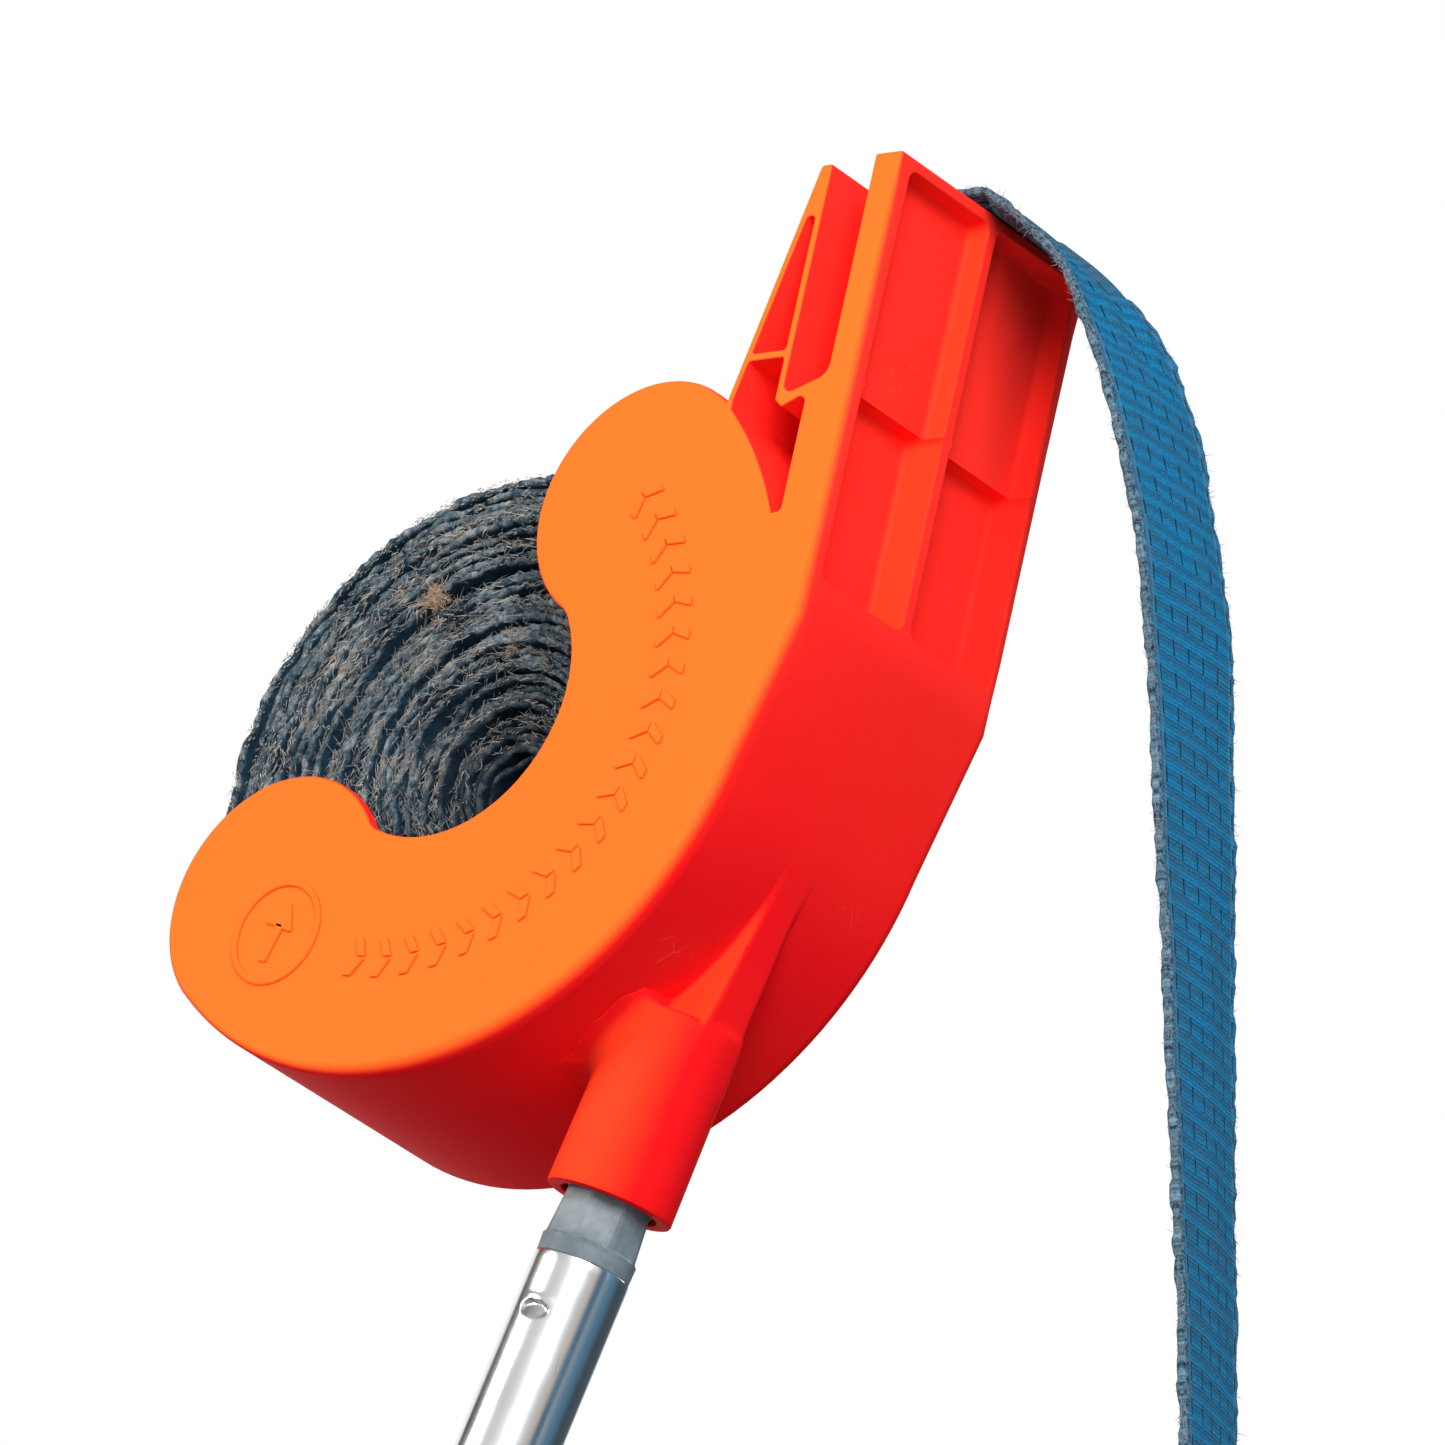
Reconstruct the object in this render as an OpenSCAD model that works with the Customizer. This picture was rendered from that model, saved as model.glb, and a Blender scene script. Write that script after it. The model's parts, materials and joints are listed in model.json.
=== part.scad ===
// Strap launcher: a one-piece throwing head on a two-section extension pole,
// loaded with a rolled webbing strap whose free end hangs down to its hook.
// X points the way the strap hangs off, Y runs across the head, Z is up.
// The origin is where the hand holds the pole, in the middle of the grip.

/* [Head] */
// Width of the head across both cheeks
head_w = 68; // [64:1:72]
// Thickness of each cheek plate
cheek_t = 4; // [3:0.5:4]
// Outer radius of the round cradle wall
cradle_r = 90; // [88:1:92]
// Thickness of the cradle wall
wall_t = 4; // [3:0.5:5]
// Radius of the round notch in each cheek
notch_r = 33.5; // [30:0.5:35]
// Radius of the round lobes at both ends of a cheek
lobe_r = 29.5; // [29:0.5:30]
// Direction of the upper lobe from the cradle's axis, in degrees from +X
upper_lobe_angle = 30.5; // [29:0.5:32]
// Direction of the lower lobe from the cradle's axis, in degrees from +X
lower_lobe_angle = 212.5; // [210:0.5:214]

/* [Horn] */
// Length of the front rail along its outer face
rail_len = 104; // [100:1:108]
// Thickness of the front rail beside the slot
rail_t = 8; // [7:0.5:9]
// Thickness of the front rail below the slot floor
rail_root_t = 13; // [12:0.5:14]
// Back wall left behind the rail's pockets
pocket_wall = 2; // [1.5:0.5:3]
// Width of the rib between the two columns of pockets
pocket_rib = 3; // [2:0.5:4]
// Thickness of the thin walls of the rear wedge
web_t = 1.8; // [1.5:0.1:2.4]

/* [Socket] */
// Lean of the pole from upright
pole_lean = 28.5; // [28:0.5:29]
// Distance from the cradle's axis to the pole's axis
pole_offset = 72.5; // [72:0.5:73]
// Distance from the cradle's axis down to the socket's mouth, along the pole
socket_reach = 96.5; // [95:0.5:98]
// Outer radius of the socket at its mouth
socket_r = 14.5; // [14:0.5:15]
// Radius of the socket's bore
socket_bore_r = 11.1; // [11.1:0.1:11.3]
// Depth of the socket's bore
socket_depth = 30; // [26:1:30]

/* [Pole] */
// Outer radius of the inner tube
inner_tube_r = 11; // [11:0.1:11]
// Wall of both tubes
tube_wall = 1.2; // [1:0.1:1.4]
// Outer radius of the outer tube
outer_tube_r = 12.7; // [12.7:0.1:12.8]
// Length of the inner tube
inner_tube_len = 540; // [500:10:560]
// Length of the outer tube
outer_tube_len = 500; // [480:10:520]
// Inner tube showing between the tip and the lock nut
tube_showing = 118; // [100:1:130]
// Outer radius of the rubber grip
grip_r = 16; // [15:0.5:17]
// Length of the rubber grip
grip_len = 150; // [130:5:160]
// Radius of the hanging hole through the end cap
hang_hole_r = 4; // [3:0.5:4.5]

/* [Strap] */
// Width of the webbing
strap_w = 50; // [48:1:50]
// Thickness of the webbing
strap_t = 2; // [1.8:0.1:2.2]
// Outer radius of the rolled strap
roll_r = 71; // [68:1:72]
// Radius of the open middle of the roll
roll_core_r = 7; // [6:1:10]
// Radius of the hook's round wire
wire_r = 4.5; // [4:0.5:5]

/* [Hidden] */
$fn = 96;
EPS = 0.01;
GAP = 0.3;
half_w = head_w / 2;
inside_w = half_w - cheek_t;
rail_angle = 75.2;
rail_tilt = 90 - rail_angle;
lobe_reach = cradle_r - lobe_r;
// lower outer corner of the front rail, from the cradle's axis
rail_foot = [99.4, -6.9];
// where the flat spine leaves the round cradle wall
spine_angle = -29.5;
// where the cradle wall ends, at the ramp's foot and under the lower lobe
wall_top_angle = 31.5;
wall_end_angle = 206;
// slot and cavity levels along the rail, from its foot
cavity_bottom = 18;
floor_level = 48.5;
rib_level = 56;
slot_w = 12;
web_x = -(rail_t + slot_w);
// the ramp's outer face, at its foot and at its top
ramp_foot = [-35.7, 46.9];
ramp_top = [-23.1, 103];
pocket_split = 49;
pocket_low = 2;
// the roll sits low in the cradle
roll_center = [0, -12];

pole_dir = [sin(pole_lean), cos(pole_lean)];
pole_side = [cos(pole_lean), -sin(pole_lean)];
// heights along the pole from the middle of the grip
cap_bottom = -118;
outer_bottom = -100;
outer_top = outer_bottom + outer_tube_len;
nut_top = outer_top + 44;
tube_top = nut_top + tube_showing;
mouth_h = tube_top + 15;
tube_bottom = tube_top - inner_tube_len;
grip_bottom = -grip_len / 2;
// the cradle's axis in the part's frame
mouth = mouth_h * pole_dir;
cradle = mouth + socket_reach * pole_dir - pole_offset * pole_side;

sleeve_r = 15;
sleeve_len = 42;
nut_r = 18;
nut_len = 46;
collet_r = 13.4;
nut_mouth_r = 12.8;
hook_clear = 0.3;

// Route of the strap from the roll over the ramp to the rail's top:
// [x, z, middle y, width], from the cradle's axis.
RUN = [
    [72.4, -17, 0, 50], [72.2, 0, 0, 50], [72.0, 20, 0, 50], [71.6, 36, 0, 50],
    [71.6, 44, 0, 50], [73.4, 49.5, 1, 50], [79.4, 57.5, 2, 50], [86, 70.2, 4, 49],
    [93.2, 84, 8, 46], [99.6, 96.3, 11, 43], [103.4, 101, 12, 42], [111, 99.6, 13, 41],
    [119, 97.9, 13.5, 40], [125.6, 96.4, 14, 40]
];
// Route of the hanging tail: [x, z, middle y, width, turn of the width about Z].
TAIL = [
    [125.7, 96.4, 14, 40, 0], [133, 88, 14, 42, 1], [140, 79, 14, 44, 3],
    [147, 68, 14, 46, 5], [152, 55, 14, 48, 7], [156, 42, 14, 50, 9],
    [160, 24, 14, 50, 11], [163.5, 4, 14, 50, 12.5], [166, -16, 14, 50, 14],
    [166.5, -38, 14, 50, 15.5], [167, -62, 14, 50, 17], [167, -88, 14, 50, 18.5],
    [167.5, -114, 14, 50, 20], [167.5, -140, 14, 50, 21], [168, -166, 14, 50, 22],
    [168, -194, 14, 50, 23], [168, -222, 14, 50, 24], [168, -250, 14, 50, 24]
];
TAIL_TURN = 24;
EYE_LEN = 26;
TAIL_END = [168, 14, -250];

// ---- frames ----

// The head's own place: its origin on the cradle's axis, mid-width.
module in_head() {
    translate([cradle[0], 0, cradle[1]]) children();
}

// Along the pole: local Z runs up the pole from the middle of the grip.
module in_pole() {
    rotate([0, pole_lean, 0]) children();
}

// Extrudes an outline drawn in X and Z from y = low to y = high.
module across(low, high) {
    translate([0, high, 0]) rotate([90, 0, 0]) linear_extrude(high - low) children();
}

// Outline frame on the rail: Y runs up the rail's outer face, -X into the head.
module rail_outline() {
    translate(rail_foot) rotate(-rail_tilt) children();
}

// Solid frame on the rail: Z runs up the rail's outer face, +X outwards.
module in_rail() {
    translate([rail_foot[0], 0, rail_foot[1]]) rotate([0, rail_tilt, 0]) children();
}

// A ring of wall between two radii, with a wedge from start to end cut out.
module open_ring(outer, inner, start, end) {
    middle = (start + end) / 2;
    reach = 3 * outer;
    difference() {
        circle(outer, $fn = 180);
        circle(inner, $fn = 180);
        polygon([
            [0, 0], reach * [cos(start), sin(start)],
            reach * [cos(middle), sin(middle)], reach * [cos(end), sin(end)]
        ]);
    }
}

// ---- head ----

// The solid corner between the round wall and the flat spine, below the rail.
module spine_corner() {
    difference() {
        polygon([
            cradle_r * [cos(spine_angle), sin(spine_angle)], rail_foot,
            rail_foot - 20 * [cos(rail_tilt), -sin(rail_tilt)]
        ]);
        circle(cradle_r, $fn = 180);
    }
}

module cheek_outline() {
    difference() {
        union() {
            open_ring(cradle_r, notch_r, upper_lobe_angle, lower_lobe_angle);
            for (angle = [upper_lobe_angle, lower_lobe_angle])
                translate(lobe_reach * [cos(angle), sin(angle)]) circle(lobe_r);
        }
        circle(notch_r, $fn = 180);
    }
    spine_corner();
}

module near_cheek() {
    color("darkorange") in_head() across(-half_w, -inside_w) cheek_outline();
}

module far_cheek() {
    color("darkorange") in_head() across(inside_w, half_w) cheek_outline();
}

module cradle_wall() {
    color("orangered") in_head() across(-inside_w, inside_w) {
        open_ring(cradle_r, cradle_r - wall_t, wall_top_angle, wall_end_angle);
        spine_corner();
    }
}

module rail_shape() {
    difference() {
        rail_outline() polygon([
            [0, 0], [0, rail_len], [-rail_t, rail_len], [-rail_t, floor_level + 2],
            [-rail_root_t, floor_level - 2], [-rail_root_t, cavity_bottom],
            [-rail_root_t - 8, cavity_bottom - 1], [-rail_root_t - 8, 0]
        ]);
        circle(cradle_r, $fn = 180);
    }
}

// Pockets open outwards: a shallow pair above, a deeper pair below.
module rail_pockets() {
    column_w = inside_w - pocket_rib / 2;
    for (side = [0, 1])
        mirror([0, side, 0]) translate([0, pocket_rib / 2, 0]) {
            translate([-(rail_t - pocket_wall), 0, pocket_split])
                cube([rail_t, column_w, rail_len - 3 - pocket_split]);
            translate([-(rail_root_t - pocket_wall), 0, pocket_low])
                cube([rail_root_t, column_w, pocket_split - pocket_low + EPS]);
        }
}

module front_rail() {
    color("red") in_head() difference() {
        across(-half_w, half_w) rail_shape();
        in_rail() rail_pockets();
    }
}

// Outer face of the ramp at a level along the rail.
function ramp_x(level) =
    ramp_foot[0] + (level - ramp_foot[1])
    * (ramp_top[0] - ramp_foot[0]) / (ramp_top[1] - ramp_foot[1]);

// Thin ramp and web that meet at the top, a rib between them, the slot's floor.
module wedge_shape() {
    top = ramp_top[1];
    low = ramp_foot[1] - 9;
    web_left = web_x - web_t;
    rib_top = rib_level + web_t;
    difference() {
        rail_outline() difference() {
            polygon([
                [ramp_x(low), low], ramp_top, [web_x + 1, top], [web_x, floor_level - 2],
                [-rail_t, floor_level + 2], [-rail_t, floor_level - 0.2],
                [web_left + 2, floor_level - 5], [web_left, floor_level - 3],
                [web_left, rib_level], [ramp_x(rib_level) + web_t, rib_level],
                [ramp_x(low) + web_t, low]
            ]);
            polygon([
                [ramp_x(rib_top) + web_t, rib_top], [web_left, rib_top], [web_left, top - 13]
            ]);
        }
        circle(cradle_r, $fn = 180);
        rail_shape();
    }
}

module rear_wedge() {
    color("tomato") in_head() across(-half_w, half_w) wedge_shape();
}

// The socket stands on the spine: a tube, and a narrower ridge that runs out
// along the pole's line until the round wall swallows it.
module pole_socket() {
    ridge_w = 17;
    ridge_end = 88;
    color("orangered") difference() {
        in_pole() translate([0, 0, mouth_h]) difference() {
            union() {
                rotate_extrude() polygon([[0, 0], [socket_r, 0], [socket_r - 0.8, 52], [0, 52]]);
                across(-ridge_w / 2, ridge_w / 2)
                    polygon([[0, 40], [socket_r - 1, 40], [socket_r + 1.2, ridge_end], [0, ridge_end]]);
            }
            translate([0, 0, -1]) cylinder(h = socket_depth + 1, r = socket_bore_r);
        }
        in_head() rotate([90, 0, 0]) cylinder(h = 2 * head_w, r = cradle_r, center = true, $fn = 180);
    }
}

// ---- strap ----

// One ring of a flat band: a rectangle with clipped corners, across and thick.
function band_ring(middle, wide, thick, across_dir, up_dir) =
    let (w = wide / 2, t = thick / 2, c = thick / 4)
    [for (p = [[-w, -t + c], [-w + c, -t], [w - c, -t], [w, -t + c],
               [w, t - c], [w - c, t], [-w + c, t], [-w, t - c]])
        middle + p[0] * across_dir + p[1] * up_dir];

// Direction of a route at ring i, in X and Z.
function heading(route, i) =
    let (a = route[max(i - 1, 0)], b = route[min(i + 1, len(route) - 1)],
         d = [b[0] - a[0], b[1] - a[1]])
    d / norm(d);

function ring_at(route, i) =
    let (p = route[i], turn = len(p) > 4 ? p[4] : 0, h = heading(route, i),
         wide_dir = [-sin(turn), cos(turn), 0],
         along = [h[0], 0, h[1]],
         thick_dir = cross(wide_dir, along) / norm(cross(wide_dir, along)))
    band_ring([p[0], p[2], p[1]], p[3], strap_t, wide_dir, thick_dir);

// A band swept through a route as one closed solid.
module band(route) {
    rings = len(route);
    points = [for (i = [0:rings - 1]) each ring_at(route, i)];
    sides = [for (i = [0:rings - 2], k = [0:7])
        let (a = 8 * i, b = a + 8, n = (k + 1) % 8) each [[a + k, b + n, a + n], [a + k, b + k, b + n]]];
    ends = [[for (k = [0:7]) k], [for (k = [7:-1:0]) 8 * (rings - 1) + k]];
    polyhedron(points, concat(sides, ends), convexity = 4);
}

module strap_roll() {
    color("slategray") in_head() translate([roll_center[0], 0, roll_center[1]])
        rotate([90, 0, 0]) translate([0, 0, -strap_w / 2]) rotate_extrude($fn = 120)
            polygon([[roll_core_r, 2], [roll_r, 0], [roll_r, strap_w], [roll_core_r, strap_w - 2]]);
}

module strap_run() {
    color("steelblue") in_head() band(RUN);
}

module strap_tail() {
    color("steelblue") in_head() band(TAIL);
}

// Places its children at the tail's lower end, turned with the webbing.
module at_tail_end() {
    in_head() translate(TAIL_END) rotate([0, 0, TAIL_TURN]) children();
}

// The end is folded round the hook's bar and stitched down.
module strap_eye() {
    bar_hole = wire_r + hook_clear;
    eye_r = bar_hole + strap_t;
    color("steelblue") at_tail_end() difference() {
        union() {
            translate([-strap_t, -strap_w / 2, -EYE_LEN]) cube([2 * strap_t, strap_w, EYE_LEN]);
            translate([0, 0, -EYE_LEN]) rotate([90, 0, 0])
                cylinder(h = strap_w, r = eye_r, center = true, $fn = 48);
        }
        translate([0, 0, -EYE_LEN]) rotate([90, 0, 0])
            cylinder(h = strap_w + 2, r = bar_hole, center = true, $fn = 48);
    }
}

// A quarter or half turn of the hook's wire in the plane of its children.
module wire_bend(bend_r, turn) {
    rotate_extrude(angle = turn, $fn = 64) translate([bend_r, 0]) circle(wire_r, $fn = 32);
}

// A straight length of the hook's wire up from its children's origin, its far
// edge bevelled.
module wire_up(run, bevel) {
    rotate_extrude($fn = 32) polygon([
        [0, 0], [wire_r, 0], [wire_r, run - bevel], [wire_r - bevel, run], [0, run]
    ]);
}

// Double J hook: a bar through the eye, two legs, and a claw on each leg.
module strap_hook() {
    bar_half = strap_w / 2 + 3;
    corner_r = 8;
    leg = 34;
    claw_r = 13;
    tip = 18;
    // the angle at which its weight hangs straight under the bar
    hang = 15;
    color("silver") at_tail_end() translate([0, 0, -EYE_LEN]) rotate([0, hang, 0]) {
        rotate([90, 0, 0]) cylinder(h = 2 * bar_half, r = wire_r, center = true, $fn = 32);
        for (side = [0, 1]) mirror([0, side, 0]) translate([0, bar_half, -corner_r]) {
            rotate([0, -90, 0]) wire_bend(corner_r, 90);
            translate([0, corner_r, -leg]) {
                cylinder(h = leg, r = wire_r, $fn = 32);
                translate([claw_r, 0, 0]) rotate([-90, 0, 0]) wire_bend(claw_r, 180);
                translate([2 * claw_r, 0, 0]) wire_up(tip, 2);
            }
        }
    }
}

// ---- pole ----

module pole_tip() {
    tube_bore = inner_tube_r - tube_wall;
    color("slategray") in_pole() translate([0, 0, mouth_h]) union() {
        translate([0, 0, -47]) cylinder(h = 32 + EPS, r = tube_bore);
        translate([0, 0, -15]) rotate_extrude()
            polygon([[0, 0], [inner_tube_r - 0.6, 0], [inner_tube_r - 0.2, 4], [0, 4]]);
        translate([0, 0, -11 - EPS]) rotate(10) cylinder(h = 11, r = inner_tube_r, $fn = 8);
        translate([0, 0, -EPS]) cylinder(h = socket_depth - 2, r = socket_bore_r - 0.06);
    }
}

module inner_tube() {
    color("gainsboro") in_pole() translate([0, 0, tube_bottom]) difference() {
        cylinder(h = inner_tube_len, r = inner_tube_r);
        translate([0, 0, -1]) cylinder(h = inner_tube_len + 2, r = inner_tube_r - tube_wall);
    }
}

// The bush keeps the inner tube straight in the outer one.
module inner_bush() {
    bush_r = outer_tube_r - tube_wall - 0.06;
    color("dimgray") in_pole() translate([0, 0, tube_bottom - 6]) union() {
        cylinder(h = 6, r = bush_r);
        translate([0, 0, 6 - EPS]) cylinder(h = 24, r = inner_tube_r - tube_wall);
    }
}

module lock_nut() {
    rib_count = 18;
    color("dimgray") in_pole() translate([0, 0, nut_top - nut_len]) difference() {
        union() {
            rotate_extrude() polygon([
                [0, 0], [nut_r - 1.5, 0], [nut_r - 1.5, nut_len - 8],
                [nut_r - 4, nut_len], [0, nut_len]
            ]);
            for (i = [0:rib_count - 1]) rotate(i * 360 / rib_count)
                translate([nut_r - 1.8, 0, 4]) cylinder(h = nut_len - 14, r = 1.3, $fn = 24);
        }
        translate([0, 0, -1]) cylinder(h = nut_len - 15, r = sleeve_r + 0.05);
        translate([0, 0, -1]) cylinder(h = nut_len - 3, r = collet_r + 0.05);
        translate([0, 0, -1]) cylinder(h = nut_len + 2, r = nut_mouth_r);
    }
}

// A split ring that the nut squeezes on the inner tube.
module collet() {
    collet_len = 13;
    color("ivory") in_pole() translate([0, 0, outer_top + 26]) difference() {
        cylinder(h = collet_len, r = collet_r);
        translate([0, 0, -1]) cylinder(h = collet_len + 2, r = inner_tube_r + 0.05);
        for (i = [0:3]) rotate(i * 90 + 45)
            translate([inner_tube_r - 1, -0.8, 3]) cube([6, 1.6, collet_len]);
    }
}

// Fixed on the outer tube: the nut turns on its upper half.
module collar_sleeve() {
    color("black") in_pole() translate([0, 0, outer_top - sleeve_len + 26]) difference() {
        union() {
            cylinder(h = sleeve_len, r = sleeve_r);
            cylinder(h = sleeve_len - 30, r = nut_r - 0.5);
        }
        translate([0, 0, -1]) cylinder(h = sleeve_len - 25, r = outer_tube_r);
        translate([0, 0, -1]) cylinder(h = sleeve_len + 2, r = inner_tube_r + GAP);
        for (side = [-1, 1]) translate([side * outer_tube_r, 0, 7]) rotate([0, 90, 0])
            cylinder(h = 14, r = 2, center = true, $fn = 32);
    }
}

module sleeve_rivets() {
    color("silver") in_pole() translate([0, 0, outer_top - sleeve_len + 33])
        for (side = [-1, 1]) rotate([0, 90 * side, 0]) {
            translate([0, 0, outer_tube_r]) cylinder(h = nut_r - outer_tube_r - 0.5, r = 2, $fn = 32);
            translate([0, 0, nut_r - 0.5]) cylinder(h = 1, r = 3.2, $fn = 32);
        }
}

module outer_tube() {
    color("gainsboro") in_pole() translate([0, 0, outer_bottom]) difference() {
        cylinder(h = outer_tube_len, r = outer_tube_r);
        translate([0, 0, -1]) cylinder(h = outer_tube_len + 2, r = outer_tube_r - tube_wall);
        translate([0, 0, 6]) rotate([0, 90, 0])
            cylinder(h = 3 * outer_tube_r, r = 1.6, center = true, $fn = 32);
    }
}

module hand_grip() {
    rib_step = 10;
    rib_count = floor(grip_len / rib_step) - 2;
    color("dimgray") in_pole() translate([0, 0, grip_bottom]) difference() {
        union() {
            cylinder(h = grip_len, r = grip_r - 1);
            for (i = [1:rib_count]) translate([0, 0, i * rib_step + 2])
                cylinder(h = 6, r = grip_r);
        }
        translate([0, 0, -1]) cylinder(h = grip_len + 2, r = outer_tube_r);
    }
}

// A hard ring closes each end of the grip.
module grip_rings() {
    ring_h = 5;
    color("black") in_pole() for (level = [grip_bottom - ring_h, -grip_bottom])
        translate([0, 0, level]) difference() {
            cylinder(h = ring_h, r = grip_r + 0.5);
            translate([0, 0, -1]) cylinder(h = ring_h + 2, r = outer_tube_r);
        }
}

module end_cap() {
    cap_r = outer_tube_r + 1.5;
    tab_t = 10;
    color("black") in_pole() difference() {
        union() {
            translate([0, 0, outer_bottom - 3]) cylinder(h = 15, r = cap_r);
            translate([0, 0, outer_bottom - 3]) cylinder(h = 28, r = outer_tube_r - tube_wall);
            translate([-cap_r, -tab_t / 2, cap_bottom]) cube([2 * cap_r, tab_t, 16]);
            translate([0, 0, cap_bottom]) rotate([90, 0, 0])
                cylinder(h = tab_t, r = cap_r, center = true);
        }
        translate([0, 0, outer_bottom]) difference() {
            cylinder(h = 13, r = outer_tube_r);
            translate([0, 0, -1]) cylinder(h = 30, r = outer_tube_r - tube_wall);
        }
        translate([0, 0, cap_bottom]) rotate([90, 0, 0])
            cylinder(h = 2 * tab_t, r = hang_hole_r, center = true);
        translate([0, 0, outer_bottom + 6]) rotate([0, 90, 0])
            cylinder(h = 2 * cap_r + 2, r = 1.6, center = true, $fn = 32);
    }
}

module cap_rivet() {
    cap_r = outer_tube_r + 1.5;
    color("silver") in_pole() translate([0, 0, outer_bottom + 6]) rotate([0, 90, 0]) {
        cylinder(h = 2 * cap_r, r = 1.6, center = true, $fn = 32);
        for (side = [0, 1]) mirror([0, 0, side])
            translate([0, 0, cap_r]) cylinder(h = 0.9, r = 3, $fn = 32);
    }
}

near_cheek();
far_cheek();
cradle_wall();
front_rail();
rear_wedge();
pole_socket();
strap_roll();
strap_run();
strap_tail();
strap_eye();
strap_hook();
pole_tip();
inner_tube();
inner_bush();
lock_nut();
collet();
collar_sleeve();
sleeve_rivets();
outer_tube();
hand_grip();
grip_rings();
end_cap();
cap_rivet();
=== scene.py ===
"""Strap launcher: a printed throwing head on an extension pole, its rolled strap and hook.

Metres in the part's own frame: +X the way the strap hangs off, +Y across the head, +Z up,
the origin in the middle of the hand grip. Shapes are worked out in millimetres in the head's
frame (from the cradle's axis) or the pole's (from the grip's middle) and placed once.
"""

import json
import math

import bmesh
import bpy
import numpy as np
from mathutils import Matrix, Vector


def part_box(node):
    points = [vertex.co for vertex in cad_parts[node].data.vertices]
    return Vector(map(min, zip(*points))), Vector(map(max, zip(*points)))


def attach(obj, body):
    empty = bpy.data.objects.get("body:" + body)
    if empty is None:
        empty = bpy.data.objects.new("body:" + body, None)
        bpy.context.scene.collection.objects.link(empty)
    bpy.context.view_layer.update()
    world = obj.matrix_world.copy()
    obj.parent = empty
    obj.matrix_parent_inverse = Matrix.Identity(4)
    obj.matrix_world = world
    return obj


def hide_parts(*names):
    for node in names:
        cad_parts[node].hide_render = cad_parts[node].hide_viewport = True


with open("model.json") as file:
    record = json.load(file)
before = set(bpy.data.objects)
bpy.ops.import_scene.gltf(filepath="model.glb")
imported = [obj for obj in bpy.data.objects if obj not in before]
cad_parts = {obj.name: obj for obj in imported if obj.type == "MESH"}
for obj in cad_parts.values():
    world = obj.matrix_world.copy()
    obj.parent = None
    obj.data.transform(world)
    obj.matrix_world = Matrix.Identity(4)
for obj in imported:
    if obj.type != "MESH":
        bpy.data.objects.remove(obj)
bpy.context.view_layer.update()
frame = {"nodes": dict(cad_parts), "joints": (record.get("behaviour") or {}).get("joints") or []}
MM = 0.001

# ---- places, from the frame ----

ROLL_DROP = 12
roll_low, roll_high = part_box("strap_roll")
CRADLE = np.array([
    (roll_low.x + roll_high.x) / 2, 0, (roll_low.z + roll_high.z) / 2 + ROLL_DROP * MM,
])
POLE_UP = np.array(next(j["axis"] for j in frame["joints"] if j["name"] == "pole_extend"), float)
POLE_SIDE = np.array([POLE_UP[2], 0, -POLE_UP[0]])
POLE_LEAN = math.atan2(POLE_UP[0], POLE_UP[2])
ACROSS = np.array([0.0, 1.0, 0.0])

# heights along the pole from the middle of the grip, in mm
OUTER_TOP = 400
NUT_TOP = OUTER_TOP + 44
TUBE_TOP = NUT_TOP + 118
TUBE_BOTTOM = TUBE_TOP - 540
MOUTH = TUBE_TOP + 15
TUBE_R = 11.0


def in_head(points):
    """Head frame in mm to the part's frame in metres: the cradle's axis plus the point."""
    return CRADLE + np.asarray(points, float) * MM


def in_pole(points):
    """Pole frame in mm (away from the cradle, across, up it) to the part's frame in metres."""
    p = np.asarray(points, float) * MM
    return p[..., 0:1] * POLE_SIDE + p[..., 1:2] * ACROSS + p[..., 2:3] * POLE_UP


def link(name, data):
    """A new object in the scene."""
    obj = bpy.data.objects.new(name, data)
    bpy.context.scene.collection.objects.link(obj)
    return obj


def face(obj, target):
    """Turn a camera or a light to look at a point."""
    obj.rotation_euler = (Vector(target) - obj.location).to_track_quat("-Z", "Y").to_euler()


# ---- camera ----

CAMERA_FROM = (1910.68, -2389.73, -1835.75)
CAMERA_AT = (49.14, 0, -8.46)
camera_data = bpy.data.cameras.new("camera")
camera_data.sensor_width = 36
camera_data.lens = 400.84
camera_data.clip_end = 100
camera = link("camera", camera_data)
camera.location = in_head(CAMERA_FROM)
face(camera, in_head(CAMERA_AT))
bpy.context.scene.camera = camera
bpy.context.scene.view_settings.view_transform = "Standard"


# ---- numbers ----

def noise(x, y=0.0, seed=0):
    """Smooth value noise from -1 to 1: hashed lattice values blended by 3t^2 - 2t^3."""
    x, y = np.broadcast_arrays(np.asarray(x, float), np.asarray(y, float))
    cell_x, cell_y = np.floor(x), np.floor(y)
    fx, fy = x - cell_x, y - cell_y
    fx, fy = fx * fx * (3 - 2 * fx), fy * fy * (3 - 2 * fy)

    def corner(dx, dy):
        h = np.sin((cell_x + dx) * 127.1 + (cell_y + dy) * 311.7 + seed * 74.7) * 43758.5453
        return 2 * (h - np.floor(h)) - 1

    low = corner(0, 0) * (1 - fx) + corner(1, 0) * fx
    high = corner(0, 1) * (1 - fx) + corner(1, 1) * fx
    return low * (1 - fy) + high * fy


def smooth(low, high, x):
    """0 below low, 1 above high, 3t^2 - 2t^3 between."""
    t = np.clip((np.asarray(x, float) - low) / (high - low), 0, 1)
    return t * t * (3 - 2 * t)


def blend_min(a, b, reach):
    """The smaller of two distances, rounded where they are within reach of each other."""
    h = np.clip(0.5 + 0.5 * (b - a) / reach, 0, 1)
    return b * (1 - h) + a * h - reach * h * (1 - h)


def unit(v):
    return v / np.maximum(np.linalg.norm(v, axis=-1, keepdims=True), 1e-12)


def run_along(points):
    """The distance run at each point of a line."""
    return np.append(0, np.cumsum(np.linalg.norm(np.diff(points, axis=0), axis=1)))


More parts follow.
